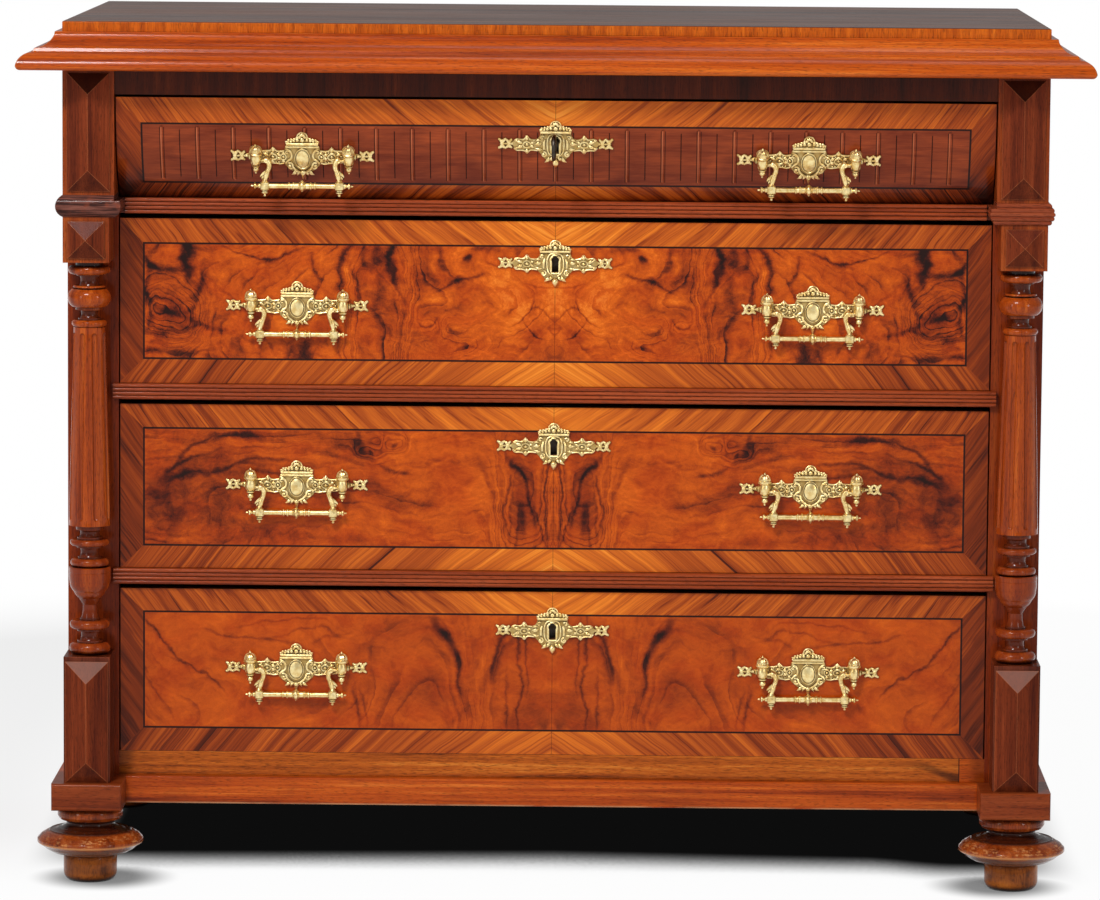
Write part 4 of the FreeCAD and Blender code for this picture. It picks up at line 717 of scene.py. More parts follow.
# flow: rings per mm across and up, reach of swirls and curls in mm, darkness of veins, tone, contrast
# hills: middle, turn, half length, half width, height in rings, and how busy their veins are
# strokes: middle, turn, half length, half width, bow and depth
FRONTS = {
    2: ((450, 574.4, 701), (0.035, 0.018, 15, 4.5, 0.3, 0.62, 1.05),
        [(421, 622, 20, 36, 29, 9, 1), (318, 706, 0, 80, 26, 2.5, 0), (198, 570, 4, 34, 150, 9, 0.6),
         (100, 640, 10, 60, 22, 2.5, 0), (137, 614, 0, 18, 11, 2.6, 0.4), (0, 640, 0, 50, 24, 1.5, 0),
         (380, 560, 0, 50, 22, 1.5, 0), (110, 592, 0, 40, 12, 3, 0.3)],
        [(402, 690, 84, 14, 8, 0, 0.75), (404, 668, 70, 16, 6, -3, 0.6), (428, 666, 12, 20, 4, 4, 0.55),
         (444, 676, 60, 14, 3, 0, 0.45), (390, 650, 120, 18, 3, 0, 0.35), (446, 650, 100, 18, 3, 0, 0.4),
         (421, 622, 20, 8, 6, 0, 0.45), (424, 622, 15, 30, 4, 16, 0.35), (416, 602, -10, 26, 3.5, 6, 0.4),
         (443, 622, 88, 22, 3, -5, 0.35), (396, 628, 100, 20, 2.5, 4, 0.3), (388, 612, 20, 20, 2.5, 0, 0.3),
         (318, 685, 0, 38, 1.8, 9, 0.55), (262, 672, 55, 16, 2.2, 5, 0.5), (233, 676, 95, 30, 3.5, 5, 0.62),
         (226, 640, 60, 14, 3, 0, 0.35), (209, 690, 80, 14, 4.5, 0, 0.5), (213, 655, 80, 22, 2.5, -4, 0.4),
         (196, 686, 70, 12, 5, 0, 0.45), (182, 684, 95, 20, 3.5, 5, 0.62), (176, 660, 75, 22, 2.5, 5, 0.4),
         (193, 640, 95, 60, 5, 8, 0.26), (186, 600, 88, 34, 7, 4, 0.24), (170, 610, 95, 40, 2.5, 3, 0.26),
         (140, 670, 60, 20, 4, 6, 0.3), (128, 690, 80, 12, 3, 0, 0.4), (97.5, 684, 0, 4.5, 4.5, 0, 0.75),
         (78, 694, 0, 22, 4, 0, 0.42), (102, 663, -12, 30, 2, -3, 0.5), (60, 678, 4, 24, 1.6, 2, 0.3),
         (137, 614, 0, 14, 1.8, 9, 0.42), (104, 606, 10, 12, 1.8, 8, 0.34), (92, 592, 0, 14, 1.8, -5, 0.3),
         (284, 586, 0, 15, 14, 0, 0.5), (316, 590, 60, 12, 2, 0, 0.3), (440, 582, 0, 12, 4, 0, 0.45),
         (405, 580, 5, 18, 4, 0, 0.45), (350, 642, 35, 40, 2.5, 0, 0.25), (350, 628, -30, 40, 3, 0, 0.22),
         (14, 630, 20, 18, 1.3, -5, 0.45), (30, 607, 50, 16, 1.2, 3, 0.45), (5, 603, 55, 8, 1.2, 0, 0.4),
         (8, 652, 0, 20, 1.2, 3, 0.3), (410, 640, 0, 60, 90, 0, 0.16), (0, 640, 0, 120, 50, 0, -0.19),
         (130, 650, 30, 40, 14, 0, 0.1)]),
    3: ((450, 368.2, 497.6), (0.004, 0.060, 13, 4, 0.2, 0.59, 0.85),
        [(32, 400, 0, 34, 90, 9, 0.5), (176, 484, 0, 15, 11, 4, 0.5), (204, 474, 0, 16, 9, 3, 0.4),
         (330, 530, 0, 150, 46, 5, 0.4), (400, 380, 20, 90, 40, 3.5, 0.2), (120, 420, 30, 60, 40, 1.5, 0)],
        [(44, 452, 50, 20, 3, 5, 0.42), (55, 418, 94, 34, 2, 4, 0.4), (38, 424, 84, 40, 11, 0, 0.26),
         (24, 420, 72, 34, 2.5, -6, 0.42), (34, 398, 90, 14, 4, 0, 0.34), (40, 386, 96, 26, 1.5, 0, 0.24),
         (6, 418, 92, 50, 1.8, 0, 0.44), (14, 392, 80, 26, 1.5, 0, 0.34), (48, 400, 90, 30, 1.5, 0, 0.24),
         (349, 488, -3, 26, 4, -3, 0.62), (312, 484, 8, 20, 3, 0, 0.3), (396, 478, -34, 26, 2.4, -4, 0.45),
         (408, 460, -28, 34, 2.2, -5, 0.4), (392, 448, -6, 36, 4, -4, 0.36),
         (330, 460, -10, 50, 2.2, -6, 0.34), (222, 476, 18, 26, 7, -4, 0.45), (246, 470, 8, 36, 3, -4, 0.36),
         (215, 486, 80, 12, 3, 0, 0.4), (176, 484, 0, 3, 2.5, 0, 0.35), (204, 474, 0, 3, 2.5, 0, 0.35),
         (174, 455, 24, 20, 2, 0, 0.4), (296, 448, 10, 46, 2, -8, 0.3), (400, 420, 0, 50, 30, 0, 0.22),
         (350, 392, 8, 80, 12, 0, 0.2), (400, 430, 0, 70, 90, 0, 0.13), (430, 390, 20, 20, 20, 0, 0.16),
         (280, 380, 0, 70, 9, 0, 0.14), (216, 430, 0, 50, 20, 0, 0.1), (100, 430, 0, 56, 60, 0, -0.1),
         (148, 416, -20, 30, 5, 5, 0.18), (76, 440, 80, 24, 2.2, 0, 0.18)]),
    4: ((450, 165.4, 294.2), (0.010, 0.035, 16, 4, 0.17, 0.585, 0.62),
        [(0, 120, 0, 100, 190, 13, 0.3), (300, 180, 0, 130, 70, 5, 0.2), (450, 200, 50, 90, 40, 3.5, 0.2)],
        [(426, 264, 50, 40, 1.8, -3, 0.42), (388, 224, 38, 30, 1.6, -3, 0.36),
         (440, 214, 60, 34, 1.6, 0, 0.26), (127, 279, 50, 14, 5, 3, 0.4), (114, 262, 70, 22, 4.5, -2, 0.44),
         (107, 232, 80, 26, 2.8, 0, 0.38), (98, 202, 82, 18, 6, 0, 0.26), (58, 256, 112, 32, 3, 6, 0.34),
         (70, 228, 118, 26, 5, 0, 0.24), (36, 230, 90, 66, 1.6, 0, 0.34), (29, 250, 92, 40, 1.4, 0, 0.26),
         (48, 200, 90, 34, 1.5, 0, 0.24), (215, 186, 78, 24, 2, 0, 0.34), (206, 186, 78, 20, 1.6, 0, 0.24),
         (330, 266, 8, 60, 1.6, -6, 0.26), (270, 272, -6, 50, 1.6, -6, 0.24), (290, 284, 0, 60, 1.4, -5, 0.2),
         (240, 270, -24, 30, 1.5, 0, 0.2), (370, 225, 0, 76, 50, 0, -0.06), (160, 220, 0, 60, 50, 0, 0.06),
         (0, 230, 0, 60, 70, 0, 0.06)]),
}
for number, (string_box, flow, hills, strokes) in FRONTS.items():
    veneered(number, string_box, flow, hills, strokes)
veneered(1, (448.5, 769.3, 835.0))


# ---------------------------------------------------------------- drawer boxes
# Pine sides and backs with dovetailed corners, and thin pine bottoms let into grooves.
# Shut away from the light, they are paler than the pine of the back.
for number in range(1, 5):
    for part, axis in (("sides", "y"), ("bottom", "x")):
        pine("drawer %d %s pine" % (number, part), axis, ["#8a6238", "#b08450", "#cba46c"],
             "drawer_%d_%s" % (number, part))


# ---------------------------------------------------------------- locks, bolts and key
# Iron lock cases let into the drawer fronts, filed bolts, and one small dark steel key.
# The cases are the most stained, and the bolts the brightest.
def iron(name, light, dark, rough, *pieces):
    """Bare iron or steel, stained in soft patches."""
    material, here = finish(name)
    stain = lumps(here, (0.012, 0.012, 0.012), 5, 0.65)
    colour = stain.ease(0.35, 0.7).mix(tone(dark), tone(light))
    grained(here, stain, 0.0001, {"Base Color": colour, "Metallic": 1.0, "Roughness": stain * 0.3 + rough})
    dress(material, *pieces)


iron("lock iron", "#8c8880", "#5a4a3c", 0.35, *["drawer_%d_lock" % n for n in range(1, 5)])
iron("bolt iron", "#9c9890", "#6a5a4a", 0.25, *["bolt_%d" % n for n in range(1, 5)])
iron("key steel", "#5a544c", "#2c241c", 0.2, "key")


# ---------------------------------------------------------------- brass pulls and keyhole plates
# Cast and chased brass: a plate with an oval boss under a palmette, arms with loops and beads, and
# leafy ends. Two urn-shaped posts on each plate carry a swinging bail. It is bright where it is
# rubbed and brown in its hollows. Sizes are in millimetres from the middle of a boss or a keyhole.
PLATE_THICKNESS = 1.7
POST_PLACE, POST_STAND, PIVOT_RISE, BAIL_DROP = 50.4, 8.5, 1.5, 27.6


def between(points, steps):
    """A smooth line through points of any length."""
    line = []
    for n in range(len(points) - 1):
        p = [Vector(points[min(max(n + k, 0), len(points) - 1)]) for k in (-1, 0, 1, 2)]
        for step in range(steps):
            t = step / steps
            line.append((p[1] * 2 + (p[2] - p[0]) * t + (p[0] * 2 - p[1] * 5 + p[2] * 4 - p[3]) * t * t
                         + (p[1] * 3 - p[0] - p[2] * 3 + p[3]) * t ** 3) / 2)
    return line + [Vector(points[-1])]


class Casting(Form):
    """A brass casting: turned forms, modelled rods and leaves on a thin plate."""

    def rod(self, path, flat=1, closed=False, steps=4, sides=8):
        """A modelled rod, scroll or leaf through (across, up, out, radius) points."""
        line = between(path, steps)
        if closed:
            line.pop()
        rings = []
        for n, point in enumerate(line):
            last = line[n - 1 if n or closed else 0]
            following = line[(n + 1) % len(line) if closed else min(n + 1, len(line) - 1)]
            ahead = (following - last).to_3d().normalized()
            side = ahead.cross(Vector((0, 0, 1))).normalized() if abs(ahead.z) < 0.9 else Vector((1, 0, 0))
            over, thick = side.cross(ahead) * flat, max(point[3], 0.05)
            rings.append([point.to_3d() + (side * math.cos(a) + over * math.sin(a)) * thick
                          for a in (math.tau * k / sides for k in range(sides))])
        self.skin(rings, closed)

    def bead(self, a, b, radius, height=None, base=PLATE_THICKNESS):
        height = height or radius
        self.turned([(radius * 0.9, base - 0.8), (radius, base), (radius * 0.75, base + height * 0.7),
                     (radius * 0.35, base + height * 0.95), (0, base + height)], (a, b, 0), "out", 12)

    def loop(self, a, b, reach_a, reach_b, wire):
        self.rod([(a + reach_a * math.cos(t), b + reach_b * math.sin(t), PLATE_THICKNESS + wire * 0.3, wire)
                  for t in (math.tau * k / 10 for k in range(11))], closed=True, steps=2, sides=6)

    def volute(self, a, b, size, start, turns, wire, base=PLATE_THICKNESS):
        """A scroll that curls in round a bead. Negative turns curl the other way."""
        path = []
        for n in range(9):
            t = n / 8
            angle, reach = start + math.tau * turns * t, size * (1 - 0.75 * t)
            path.append((a + reach * math.cos(angle), b + reach * math.sin(angle), base + 0.5,
                         wire * (1 - 0.5 * t)))
        self.rod(path, steps=3)
        self.bead(a, b, wire * 0.9, 1.6, base)

    def leaf(self, root, tip, width, bow=0, rise=1):
        """A leaf that swells and then tapers to its tip, with a crease down its middle."""
        run = Vector(tip) - Vector(root)
        middle = Vector(root) + run * 0.45 + Vector((-run.y, run.x)) * bow
        self.rod([(*root, PLATE_THICKNESS, width * 0.45), (*middle, PLATE_THICKNESS + rise, width),
                  (*tip, PLATE_THICKNESS + rise * 0.4, width * 0.12)], flat=0.55, steps=5)

    def plate(self, upper, lower, rows=8):
        """A thin cast plate between an upper and a lower outline that run from its middle outwards."""
        near, far, pitch = upper[0][0], upper[-1][0], 0.8
        places = {a for a, _ in upper + lower}
        places |= {near + n * pitch for n in range(1, int((far - near) / pitch) + 1)}
        rings = []
        for a in sorted(places):
            top, bottom = (next(b0 + (b1 - b0) * (a - a0) / (a1 - a0)
                                for (a0, b0), (a1, b1) in zip(line, line[1:]) if a0 <= a <= a1 and a1 > a0)
                           for line in (upper, lower))
            front = [(a, bottom + (top - bottom) * n / rows,
                      PLATE_THICKNESS * (1 - 0.45 * abs(2 * n / rows - 1) ** 6)) for n in range(rows + 1)]
            rings.append(front + [(a, b, 0) for _, b, _ in reversed(front)])
        if near == 0 and rings[0][0][1] < rings[0][rows][1]:
            rings = [[(-a, b, c) for a, b, c in ring] for ring in rings[:0:-1]] + rings
        self.skin(rings)

    def pairs(self, model, *rows, **more):
        """Models each row's details, or its one list, on the right and its mirror image on the left."""
        for row in rows:
            right = Casting()
            getattr(right, model)(*(row if isinstance(row, tuple) else (row,)), **more)
            start = len(self.points)
            self.points += right.points + [(-a, b, c) for a, b, c in right.points]
            self.faces += [tuple(start + k for k in face) for face in right.faces]
            start += len(right.points)
            self.faces += [tuple(start + k for k in reversed(face)) for face in right.faces]


def pediment(work, width, low, high):
    """A gable on a moulded band: a palmette in its round head, and leaves that curl down its slopes."""
    slope = [(0, high), (2.7, high - 0.6), (4.8, high - 2.6), (5.9, high - 5.4), (9.2, low + 6.9),
             (13.4, low + 4.8), (width, low + 2.4)]
    work.plate(slope, [(0, low), (width, low)])
    work.pairs("rod", [(a, b - 0.6, 1.9, 0.85) for a, b in slope], steps=3)
    work.turned([(0.9, -width), (1.6, -width + 0.6), (1.6, width - 0.6), (0.9, width)],
                (0, low + 1.1, PLATE_THICKNESS + 0.5), "across", 10)
    for n in range(5):
        angle = math.radians(-64 + 32 * n)
        work.leaf((1.2 * math.sin(angle), high - 6.6 + 1.2 * math.cos(angle)),
                  (4.8 * math.sin(angle), high - 6.6 + 5.9 * math.cos(angle)), 1.8, 0, 1.7)
    work.bead(0, high - 8.4, 3, 2.8)
    for n, (a, b) in enumerate(((5.2, 5.6), (8.9, 4.8), (12.2, 4), (15.2, 3.4))):
        work.pairs("bead", (a, low + b, 2.2 - 0.25 * n, 2))
        work.pairs("leaf", ((a - 2.4, low + b + 1.6), (a + 1.4, low + b + 0.6), 1.3, 0.25))
    work.pairs("leaf", ((width - 2.2, low + 2.6), (width + 0.9, low + 4.4), 1.3, 0.1))


def fleur(work, root, end, level):
    """The leafy end of an arm: two crosses of rounded lobes on a stem."""
    work.pairs("rod", [(root, level, 1.2, 1.2), (end - 3, level, 1.2, 1.1)], flat=0.8)
    for middle, reach in ((root + 4.2, 2.7), (end - 4.2, 3.4)):
        work.pairs("bead", (middle, level, 2.7, 2, 0.9))
        for way, up in ((1, 1), (1, -1), (-1, 1), (-1, -1)):
            tip = (middle + way * reach, level + up * (reach + 1.3))
            half_way = (middle + way * reach * 0.35, level + up * (reach + 1.3) * 0.65)
            work.pairs("rod", [(middle, level, 1.2, 1.2), (*half_way, 1.5, 1.9), (*tip, 1, 1.2)], flat=0.7)
            work.pairs("bead", (*tip, 1.6, 1.4, 0.8))


def pull_plate():
    """Back plate of a pull without its posts."""
    work = Casting()
    upper = [(0, 13.8), (17.2, 13.6), (18.8, 11.8), (19.4, 8.8), (24, 8.2), (28.6, 8.8), (31.9, 12.2),
             (35.2, 9), (45, 8.4), (57, 5.4), (62.5, 4)]
    lower = [(0, -17.5), (4.5, -15.6), (8.5, -16.2), (11.5, -14), (14.5, -11.8), (18.2, -8.4), (20, -5.6),
             (24.5, -6.4), (29, -5.6), (45, -4.4), (57, -0.6), (62.5, 0.8)]
    work.plate(upper, lower)
    # a round boss in a raised rim, drawn out to an oval
    work.turned([(8.7, 0.8), (8.7, 2.9), (8, 3.6, 0.3), (7.4, 2.5), (7, 2.5), (6.7, 3.4), (5, 4.2), (0, 4.6)],
                (0, 0, 0), "out", 32)
    work.points = [(a, b * (1.3 if abs(a) < 9 and math.hypot(a, b) < 8.8 and c > 0.7 else 1), c)
                   for a, b, c in work.points]
    pediment(work, 17.8, 14.6, 28.9)
    # shield round the boss, with a ledge over it and scrolls at its sides
    work.turned([(0.9, -18.4), (1.5, -17.8), (1.5, 17.8), (0.9, 18.4)], (0, 12.6, PLATE_THICKNESS),
                "across", 10)
    work.pairs("rod", [(17.6, 10.8, 2, 1), (13.8, 8.6, 2.4, 1.3), (11.6, 4.4, 2.4, 1.3), (12.4, 0, 2.4, 1.3),
                       (15.6, -2.2, 2.3, 1.4), (18.4, -5.2, 2, 1.1)],
               [(12.2, -4, 2.2, 0.9), (10.2, -9, 2.6, 1.3), (6.2, -13.2, 2.6, 1.4), (1.5, -15.6, 2.2, 1)])
    work.pairs("volute", (16.4, 6.4, 2.4, 2.6, -0.9, 1), (13.6, -8.2, 4.2, 1.1, 1.1, 1.3))
    work.pairs("leaf", ((7, -13), (12.4, -18), 1.9, -0.12), ((3, -14.5), (6.4, -19), 1.5, 0.1))
    work.bead(0, -16.6, 3.1, 2.4)
    work.rod([(0, -18.6, 1.8, 2.2), (0, -21, 1.6, 1.4), (0, -24, 1.2, 0.4)])
    # arms: edge cords, loops round beads, small leaves between, and a peak
    work.pairs("rod", [(a, b - 0.5, 1.6, 0.95) for a, b in upper[3:9]],
               [(a, b + 0.5, 1.6, 0.95) for a, b in lower[6:10]], steps=3)
    work.pairs("loop", (32, 1.9, 4.5, 3.1, 1.1), (20.6, 1.9, 2.9, 3.1, 1))
    for up in (1, -1):
        work.pairs("leaf", ((24.2, 1.9), (27.8, 1.9 + 3.8 * up), 1.9, 0.1 * up),
                   ((37, 1.9), (43, 1.9 + 3.8 * up), 2.1, 0.1 * up),
                   ((35.6, 1.2 + 4.4 * up), (30, 1.2 + 5 * up), 1.3, 0.1 * up),
                   ((22.8, 1.2 + 4.2 * up), (18, 1.2 + 5.4 * up), 1.4, 0.1 * up))
        work.pairs("bead", (25.4, 1.2 + 5 * up, 1.2, 1.5), (28.6, 1.2 + 5.2 * up, 1, 1.4),
                   (38.4, 1.6 + 5.2 * up, 1.2, 1.5))
    work.pairs("bead", (13.6, -8.2, 2, 2.2), (32, 1.9, 1.7, 1.9), (20.6, 1.9, 1.7, 1.9), (42, 1.9, 1.6),
               (60.2, 2.4, 1.8, 1.8, 1))
    work.pairs("leaf", ((31.9, 6.2), (31.9, 12.9), 1.9))
    work.pairs("turned", ([(2, -1.3), (3.9, -0.5, 0.2), (3.9, 0.5), (2, 1.3)], (57.2, 2.4, 1.7), "across", 14))
    fleur(work, 61.6, 77.5, 2.5)
    return work


def posts():
    """The urn-shaped posts that carry a bail, each with a gadrooned dome, a ball and a drop."""
    work = Casting()
    work.pairs("turned", ([(0, -15.2), (1.3, -14, 0.5), (0.9, -12.9), (2.3, -12.3), (3.6, -9.9, 0.3),
                           (2.4, -7.2, 0.3), (1.9, -6.6), (4.2, -5.9), (4.4, -4.7), (3.2, -4.2),
                           (5.3, -0.6, 0.5), (5.6, 4.8, 0.3), (4.9, 7.6), (6.4, 8.6), (7.3, 9.8), (7.3, 11.4),
                           (6.2, 12.2), (5.4, 15.8, 0.5), (3, 18.2, 0.5), (1.4, 18.9), (1.5, 19.8, 0.2),
                           (0, 21.6)], (POST_PLACE, 0, POST_STAND)))
    for n in range(8):
        angle = math.tau * (n + 0.5) / 8
        for rib in (((5.9, 12, 1.1), (5.6, 14.2, 1.4), (4.3, 17, 1.1), (2, 18.8, 0.4)),
                    ((3, -4.2, 0.4), (4.6, -1.4, 1), (5.2, 1.6, 0.4))):
            work.pairs("rod", [(POST_PLACE + reach * math.cos(angle), height,
                                POST_STAND + reach * math.sin(angle), thick)
                               for reach, height, thick in rib], steps=2, sides=6)
    # a stem ties each post to its plate
    work.pairs("turned", ([(3.4, 0), (3, 2), (2.6, POST_STAND)], (POST_PLACE, 1, 0), "out", 10))
    return work


def hanging_bail():
    """Two scrolled arms with leaf spurs, blocks with drops, and a turned bar, from the hinge line down."""
    work = Casting()
    bar, block, half = -BAIL_DROP, 40.4, 4.5
    work.pairs("rod", [(43.9, 0, 0, 1.45), (41.8, 0.2, 0, 2.2), (39.8, 0.2, 0, 3.3), (37.2, -1, 0, 3.3),
                       (35.8, -4.4, 0, 2.9), (36, -8.2, 0, 2.7), (37.6, -12.4, 0, 2.8), (39, -16.8, 0, 3.1),
                       (39.9, -20.6, 0, 2.4), (block, bar + 4, 0, 3)], sides=12)
    work.pairs("turned", ([(1.5, 0), (1.5, 6.6)], (41, 0, 0), "across", 10))
    work.pairs("rod", [(38, -11.4, 0, 1.6), (41.2, -14, 0, 2.1), (44.6, -16.6, 0, 1), (45.2, -18.2, 0, 0.3)],
               [(39.4, -16.4, 0, 1.6), (42.8, -18.6, 0, 1.3), (43.6, -20.6, 0, 0.3)], flat=0.8)
    work.pairs("volute", (39, -1, 2.4, 2.4, -0.9, 0.8, 2))
    for a, b in ((35.9, -5.6), (36.3, -8.6), (37.5, -11.8), (38.7, -15.2)):
        work.pairs("bead", (a, b, 1.3, 1.9, 1.6))
    rings = []
    for reach, height in ((half - 0.9, -half), (half, -half + 0.9), (half, half - 0.9), (half - 0.9, half)):
        ring = []
        for a, c in ((1, 1), (-1, 1), (-1, -1), (1, -1)):
            ends = [(a * reach, c * (reach - 0.9)), (a * (reach - 0.9), c * reach)]
            ring += ends if a * c > 0 else ends[::-1]
        rings.append([(block + a, height + bar, -c) for a, c in ring])
    work.pairs("skin", rings)
    work.pairs("turned", ([(4.2, half - 0.6), (4.2, half - 0.1), (3.4, half - 0.1), (0, half + 1.5)],
                          (block, bar, 0), "out", 4),
               ([(4, half), (3.2, half + 1), (2.2, half + 2.6)], (block, bar, 0)),
               ([(0, -11.4), (1.6, -10.2, 0.5), (1.2, -8.9), (2.2, -8.4), (3.9, -7.6), (3.9, -6.8), (2.8, -6.4),
                 (3.6, -5.8), (3.6, -5), (2.2, -4.2)], (block, bar, 0)),
               ([(0.02, 55.6), (0.9, 55.2), (1.1, 53), (2.4, 52.4), (3.3, 51.6), (3.3, 50.4), (2, 49.6),
                 (1.6, 48.2), (2.8, 47), (2.8, 44.6)], (0, bar, 0), "across", 16))
    half_bar = [(3, 36), (2.8, 15.4), (3.9, 14.6), (3.9, 13.4), (3, 12.8), (3.1, 10.6), (4.2, 9.9), (4.2, 8.9),
                (3.3, 8.2), (3.3, 4), (4.4, 3.2), (4, 2.4), (5.6, 1.4), (6, 0)]
    work.turned([(r, -h) for r, h in half_bar] + half_bar[-2::-1], (0, bar, 0), "across", 20)
    for n in range(10):
        angle = math.tau * n / 10
        work.turned([(0.05, -0.9), (0.9, 0), (0.05, 0.9)],
                    (0, bar + 5.8 * math.sin(angle), 5.8 * math.cos(angle)), "across", 6)
    return work


def keyhole_plate():
    """Plate around a keyhole, with the same pediment over it."""
    work = Casting()
    keyhole = [(0, 8.8), (1.6, 8.45), (2.97, 7.57), (3.9, 6.2), (4.2, 4.6), (3.9, 3)]
    upper = [(0, 12.6), (16.4, 12.4), (17.2, 9.6), (19, 6.8), (22.5, 5.8), (26.5, 6.4), (28.6, 7.4), (31, 10.4),
             (33.4, 7.4), (36, 6.4), (41.5, 7), (44.5, 5.6), (46.5, 3.2), (50, 2.8)]
    lower = [(0, -18.5), (4.5, -16.8), (10.5, -16.8), (13.4, -13.4), (16.4, -9.6), (19.5, -6.6), (26, -6),
             (28.6, -7), (31, -9.6), (33.4, -7), (38, -6.2), (42.5, -6.2), (45, -3.6), (46.5, -0.8), (50, -0.6)]
    hole = keyhole[4]
    work.pairs("plate", tuple([(hole[0], line[0][1])] + [point for point in line if point[0] > hole[0]]
                              for line in (upper, lower)))
    work.plate([(0, 12.6), (hole[0], 12.6)], keyhole[:5], 3)
    work.plate([(0, -8.8), (hole[0], -8.8)], [(0, -18.5), (hole[0], -16.9)], 3)
    # a broad rim round the hole, and the shield's cords and scrolls outside it
    for side in (1, -1):
        work.rod([(side * (a + 1.1), b, 1.9, 1.35) for a, b in keyhole[1:]]
                 + [(side * 4.6, 1.6, 1.9, 1.35)], steps=2)
        work.rod([(side * 4.7, b, 1.9, thick) for b, thick in ((2.4, 1.35), (-3, 1.45), (-8.8, 1.3))], steps=3)
    work.rod([(-4.6, -10, 1.9, 1.2), (0, -10.2, 1.9, 1.25), (4.6, -10, 1.9, 1.2)], steps=3)
    work.rod([(-2.4, 9.4, 1.9, 1.1), (0, 10, 1.9, 1.1), (2.4, 9.4, 1.9, 1.1)], steps=3)
    work.pairs("rod", [(0, 11.8, 1.9, 0.8), (6.2, 10.4, 2, 0.9), (8.8, 4.6, 2, 0.9), (9, -2, 2, 0.9),
                       (7.6, -8.4, 2, 0.9), (2.5, -13, 1.9, 0.8)],
               [(11.4, 6, 2, 1), (12.6, 1.5, 2.4, 1.6), (12.6, -4.6, 2.2, 1.1)])
    pediment(work, 17, 12.6, 26.4)
    work.pairs("volute", (14.4, 8, 2.4, 2.6, -0.9, 1), (12.8, -10, 3.2, 1.5, 1.1, 1.25))
    work.pairs("leaf", ((7, -13.6), (11.8, -18.8), 1.9, -0.12), ((2.6, -13.6), (6, -17.8), 1.7, 0.1),
               ((15.4, 1.4), (22.8, 1), 2.2), ((14.6, -4.6), (21.5, -3.6), 1.5, -0.1),
               ((16.2, 5.2), (21.8, 4.2), 1.3, 0.1))
    work.rod([(0, -15.4, 2, 1.6), (0, -18.8, 2.6, 3.7), (0, -22.4, 2, 2.3), (0, -24.9, 1.2, 0.4)], 0.8, steps=5)
    work.pairs("rod", [(a, b - 0.6, 1.6, 0.9) for a, b in upper[4:12]],
               [(a, b + 0.6, 1.6, 0.9) for a, b in lower[5:13]], steps=3)
    work.pairs("loop", (31, 0.4, 4.4, 3.2, 1))
    work.pairs("bead", (12.8, -10, 1.7, 2), (31, 0.4, 1.9, 1.4))
    for up in (1, -1):
        work.pairs("leaf", ((31, 0.4 + 4.4 * up), (31, 0.4 + 10 * up), 2),
                   ((26.4, 0.4 + 0.4 * up), (23.2, 0.4 + 3.4 * up), 1.4, -0.1 * up),
                   ((35.8, 0.4 + 0.6 * up), (42.8, 0.4 + 3.4 * up), 1.9, 0.1 * up))
        work.pairs("bead", (42.6, 0.4 + 4.4 * up, 1.7, 1.6))
    fleur(work, 46.4, 62, 1.2)
    return work


brass, here = finish("cast brass")
stain = lumps(here, (0.006, 0.006, 0.006), 4, 0.6)
colour = stain.ease(0.3, 0.7).mix(tone("#e0bc74"), tone("#ffecb0"))
ground = here.node("Attribute", {"attribute_name": "proud"}, {}, "Fac").ease(2.3, 1.5)
colour = (ground * 0.75).mix(colour, tone("#a07c3c"))
dirty = (1 - open_air(here, 6, 0.0030)).ease(0.15, 0.75)
colour = dirty.mix(colour, tone("#4a2e10"))
grained(here, stain, 0.0002, {"Base Color": colour, "Metallic": 1.0 - dirty * 0.5,
                              "Roughness": stain * 0.2 + ground * 0.15 + 0.26})

FLAT_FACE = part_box("drawer_2_front")[0].y / MM
BOW_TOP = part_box("drawer_1_front")[0].y / MM
BOW_LOW, BOW_HIGH = (corner.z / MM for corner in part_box("drawer_1_front"))
BOW_RADIUS = ((FLAT_FACE - BOW_TOP) ** 2 + (BOW_HIGH - BOW_LOW) ** 2) / (2 * (FLAT_FACE - BOW_TOP))
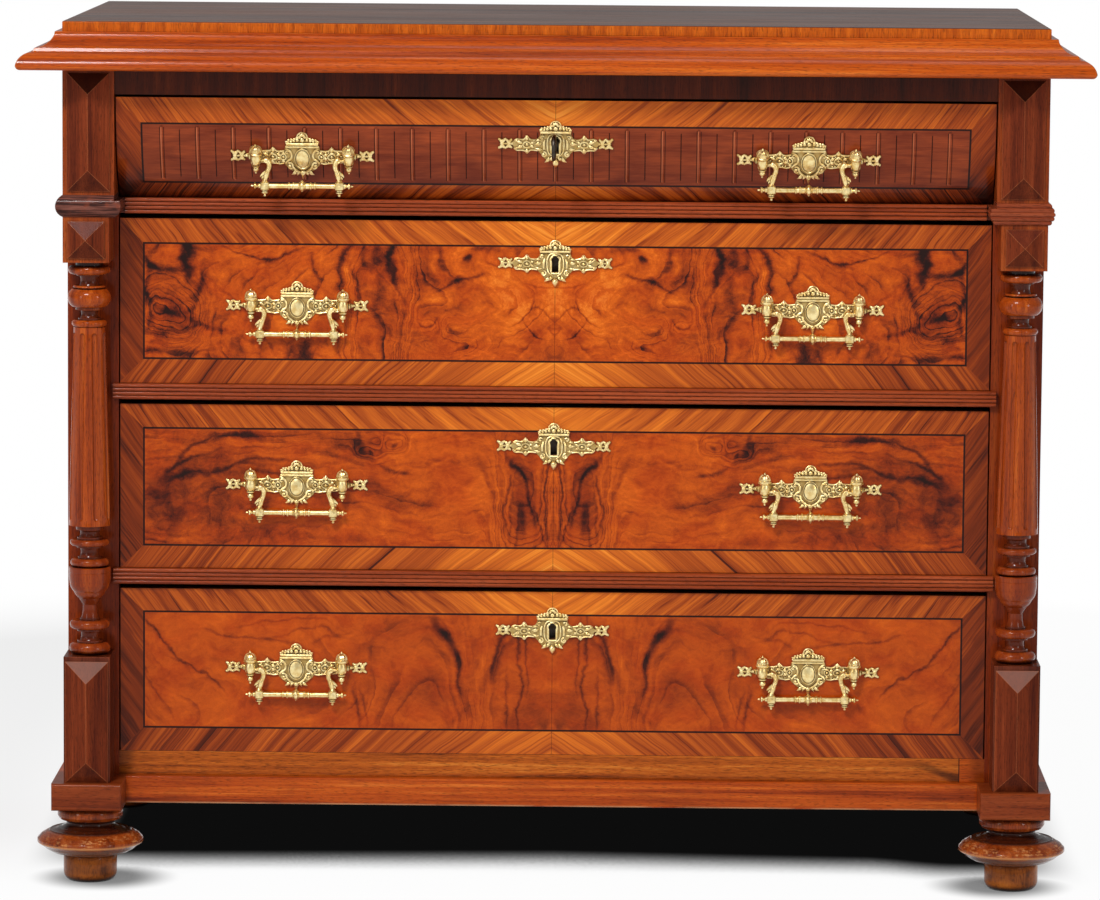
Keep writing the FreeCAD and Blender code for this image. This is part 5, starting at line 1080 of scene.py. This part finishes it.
# from the middle of the chest, height of the hinge less its rise, and how much higher the plate sits
PULL_PLACES = {1: (274.5, 798.0, 0.3), 2: (282, 628.9, 2.6), 3: (282, 432.3, 1.8), 4: (282, 230.2, 1.0)}
KEYHOLE_HEIGHTS = {1: 815.4, 2: 681.7, 3: 480.5, 4: 276.3}
# how far posts and bails stand out of the dirty ground of a plate, for the finish
POST_PROUD, BAIL_PROUD, BRASS_CREASE = 2, 20, 42


def on_front(number, x, height):
    """Lays a plate on a drawer front, bent over the curve of the top drawer."""
    def place(a, b, c):
        if number > 1:
            return x + a, FLAT_FACE - c, height + b
        lean = math.asin((BOW_HIGH - height - b) / BOW_RADIUS)
        reach = BOW_RADIUS + c
        return x + a, BOW_TOP + BOW_RADIUS - reach * math.cos(lean), BOW_HIGH - reach * math.sin(lean)
    return place


def leaning(number, x, height):
    """Stands a rigid piece square on a drawer front."""
    def place(a, b, c):
        lean = math.asin((BOW_HIGH - height) / BOW_RADIUS) if number == 1 else 0
        _, y, z = on_front(number, x, height)(0, 0, 0)
        return (x + a, y - c * math.cos(lean) - b * math.sin(lean), z - c * math.sin(lean) + b * math.cos(lean))
    return place


plate_model, post_model, bail_model, keyhole_model = pull_plate(), posts(), hanging_bail(), keyhole_plate()
for number, (place, height, lift) in PULL_PLACES.items():
    body = "drawer_%d" % number
    for side, x in (("left", -place), ("right", place)):
        made = make("pull_plate_%d_%s" % (number, side),
                    [(plate_model, on_front(number, x, height + lift), 0),
                     (post_model, leaning(number, x, height + lift), POST_PROUD)], brass, BRASS_CREASE)
        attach(made, body)
        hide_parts(body + "_brass")
        hinge = leaning(number, x, height)(0, PIVOT_RISE, POST_STAND)
        bail = "bail_%d_%s" % (number, side)
        made = make("pull_" + bail, [(bail_model, lambda a, b, c: (hinge[0] + a, hinge[1] - c, hinge[2] + b),
                                      BAIL_PROUD)], brass, BRASS_CREASE)
        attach(made, bail)
        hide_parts(bail)
    made = make("keyhole_plate_%d" % number, [(keyhole_model, on_front(number, 0, KEYHOLE_HEIGHTS[number]), 0)],
                brass, BRASS_CREASE)
    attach(made, body)
    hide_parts(body + "_brass")
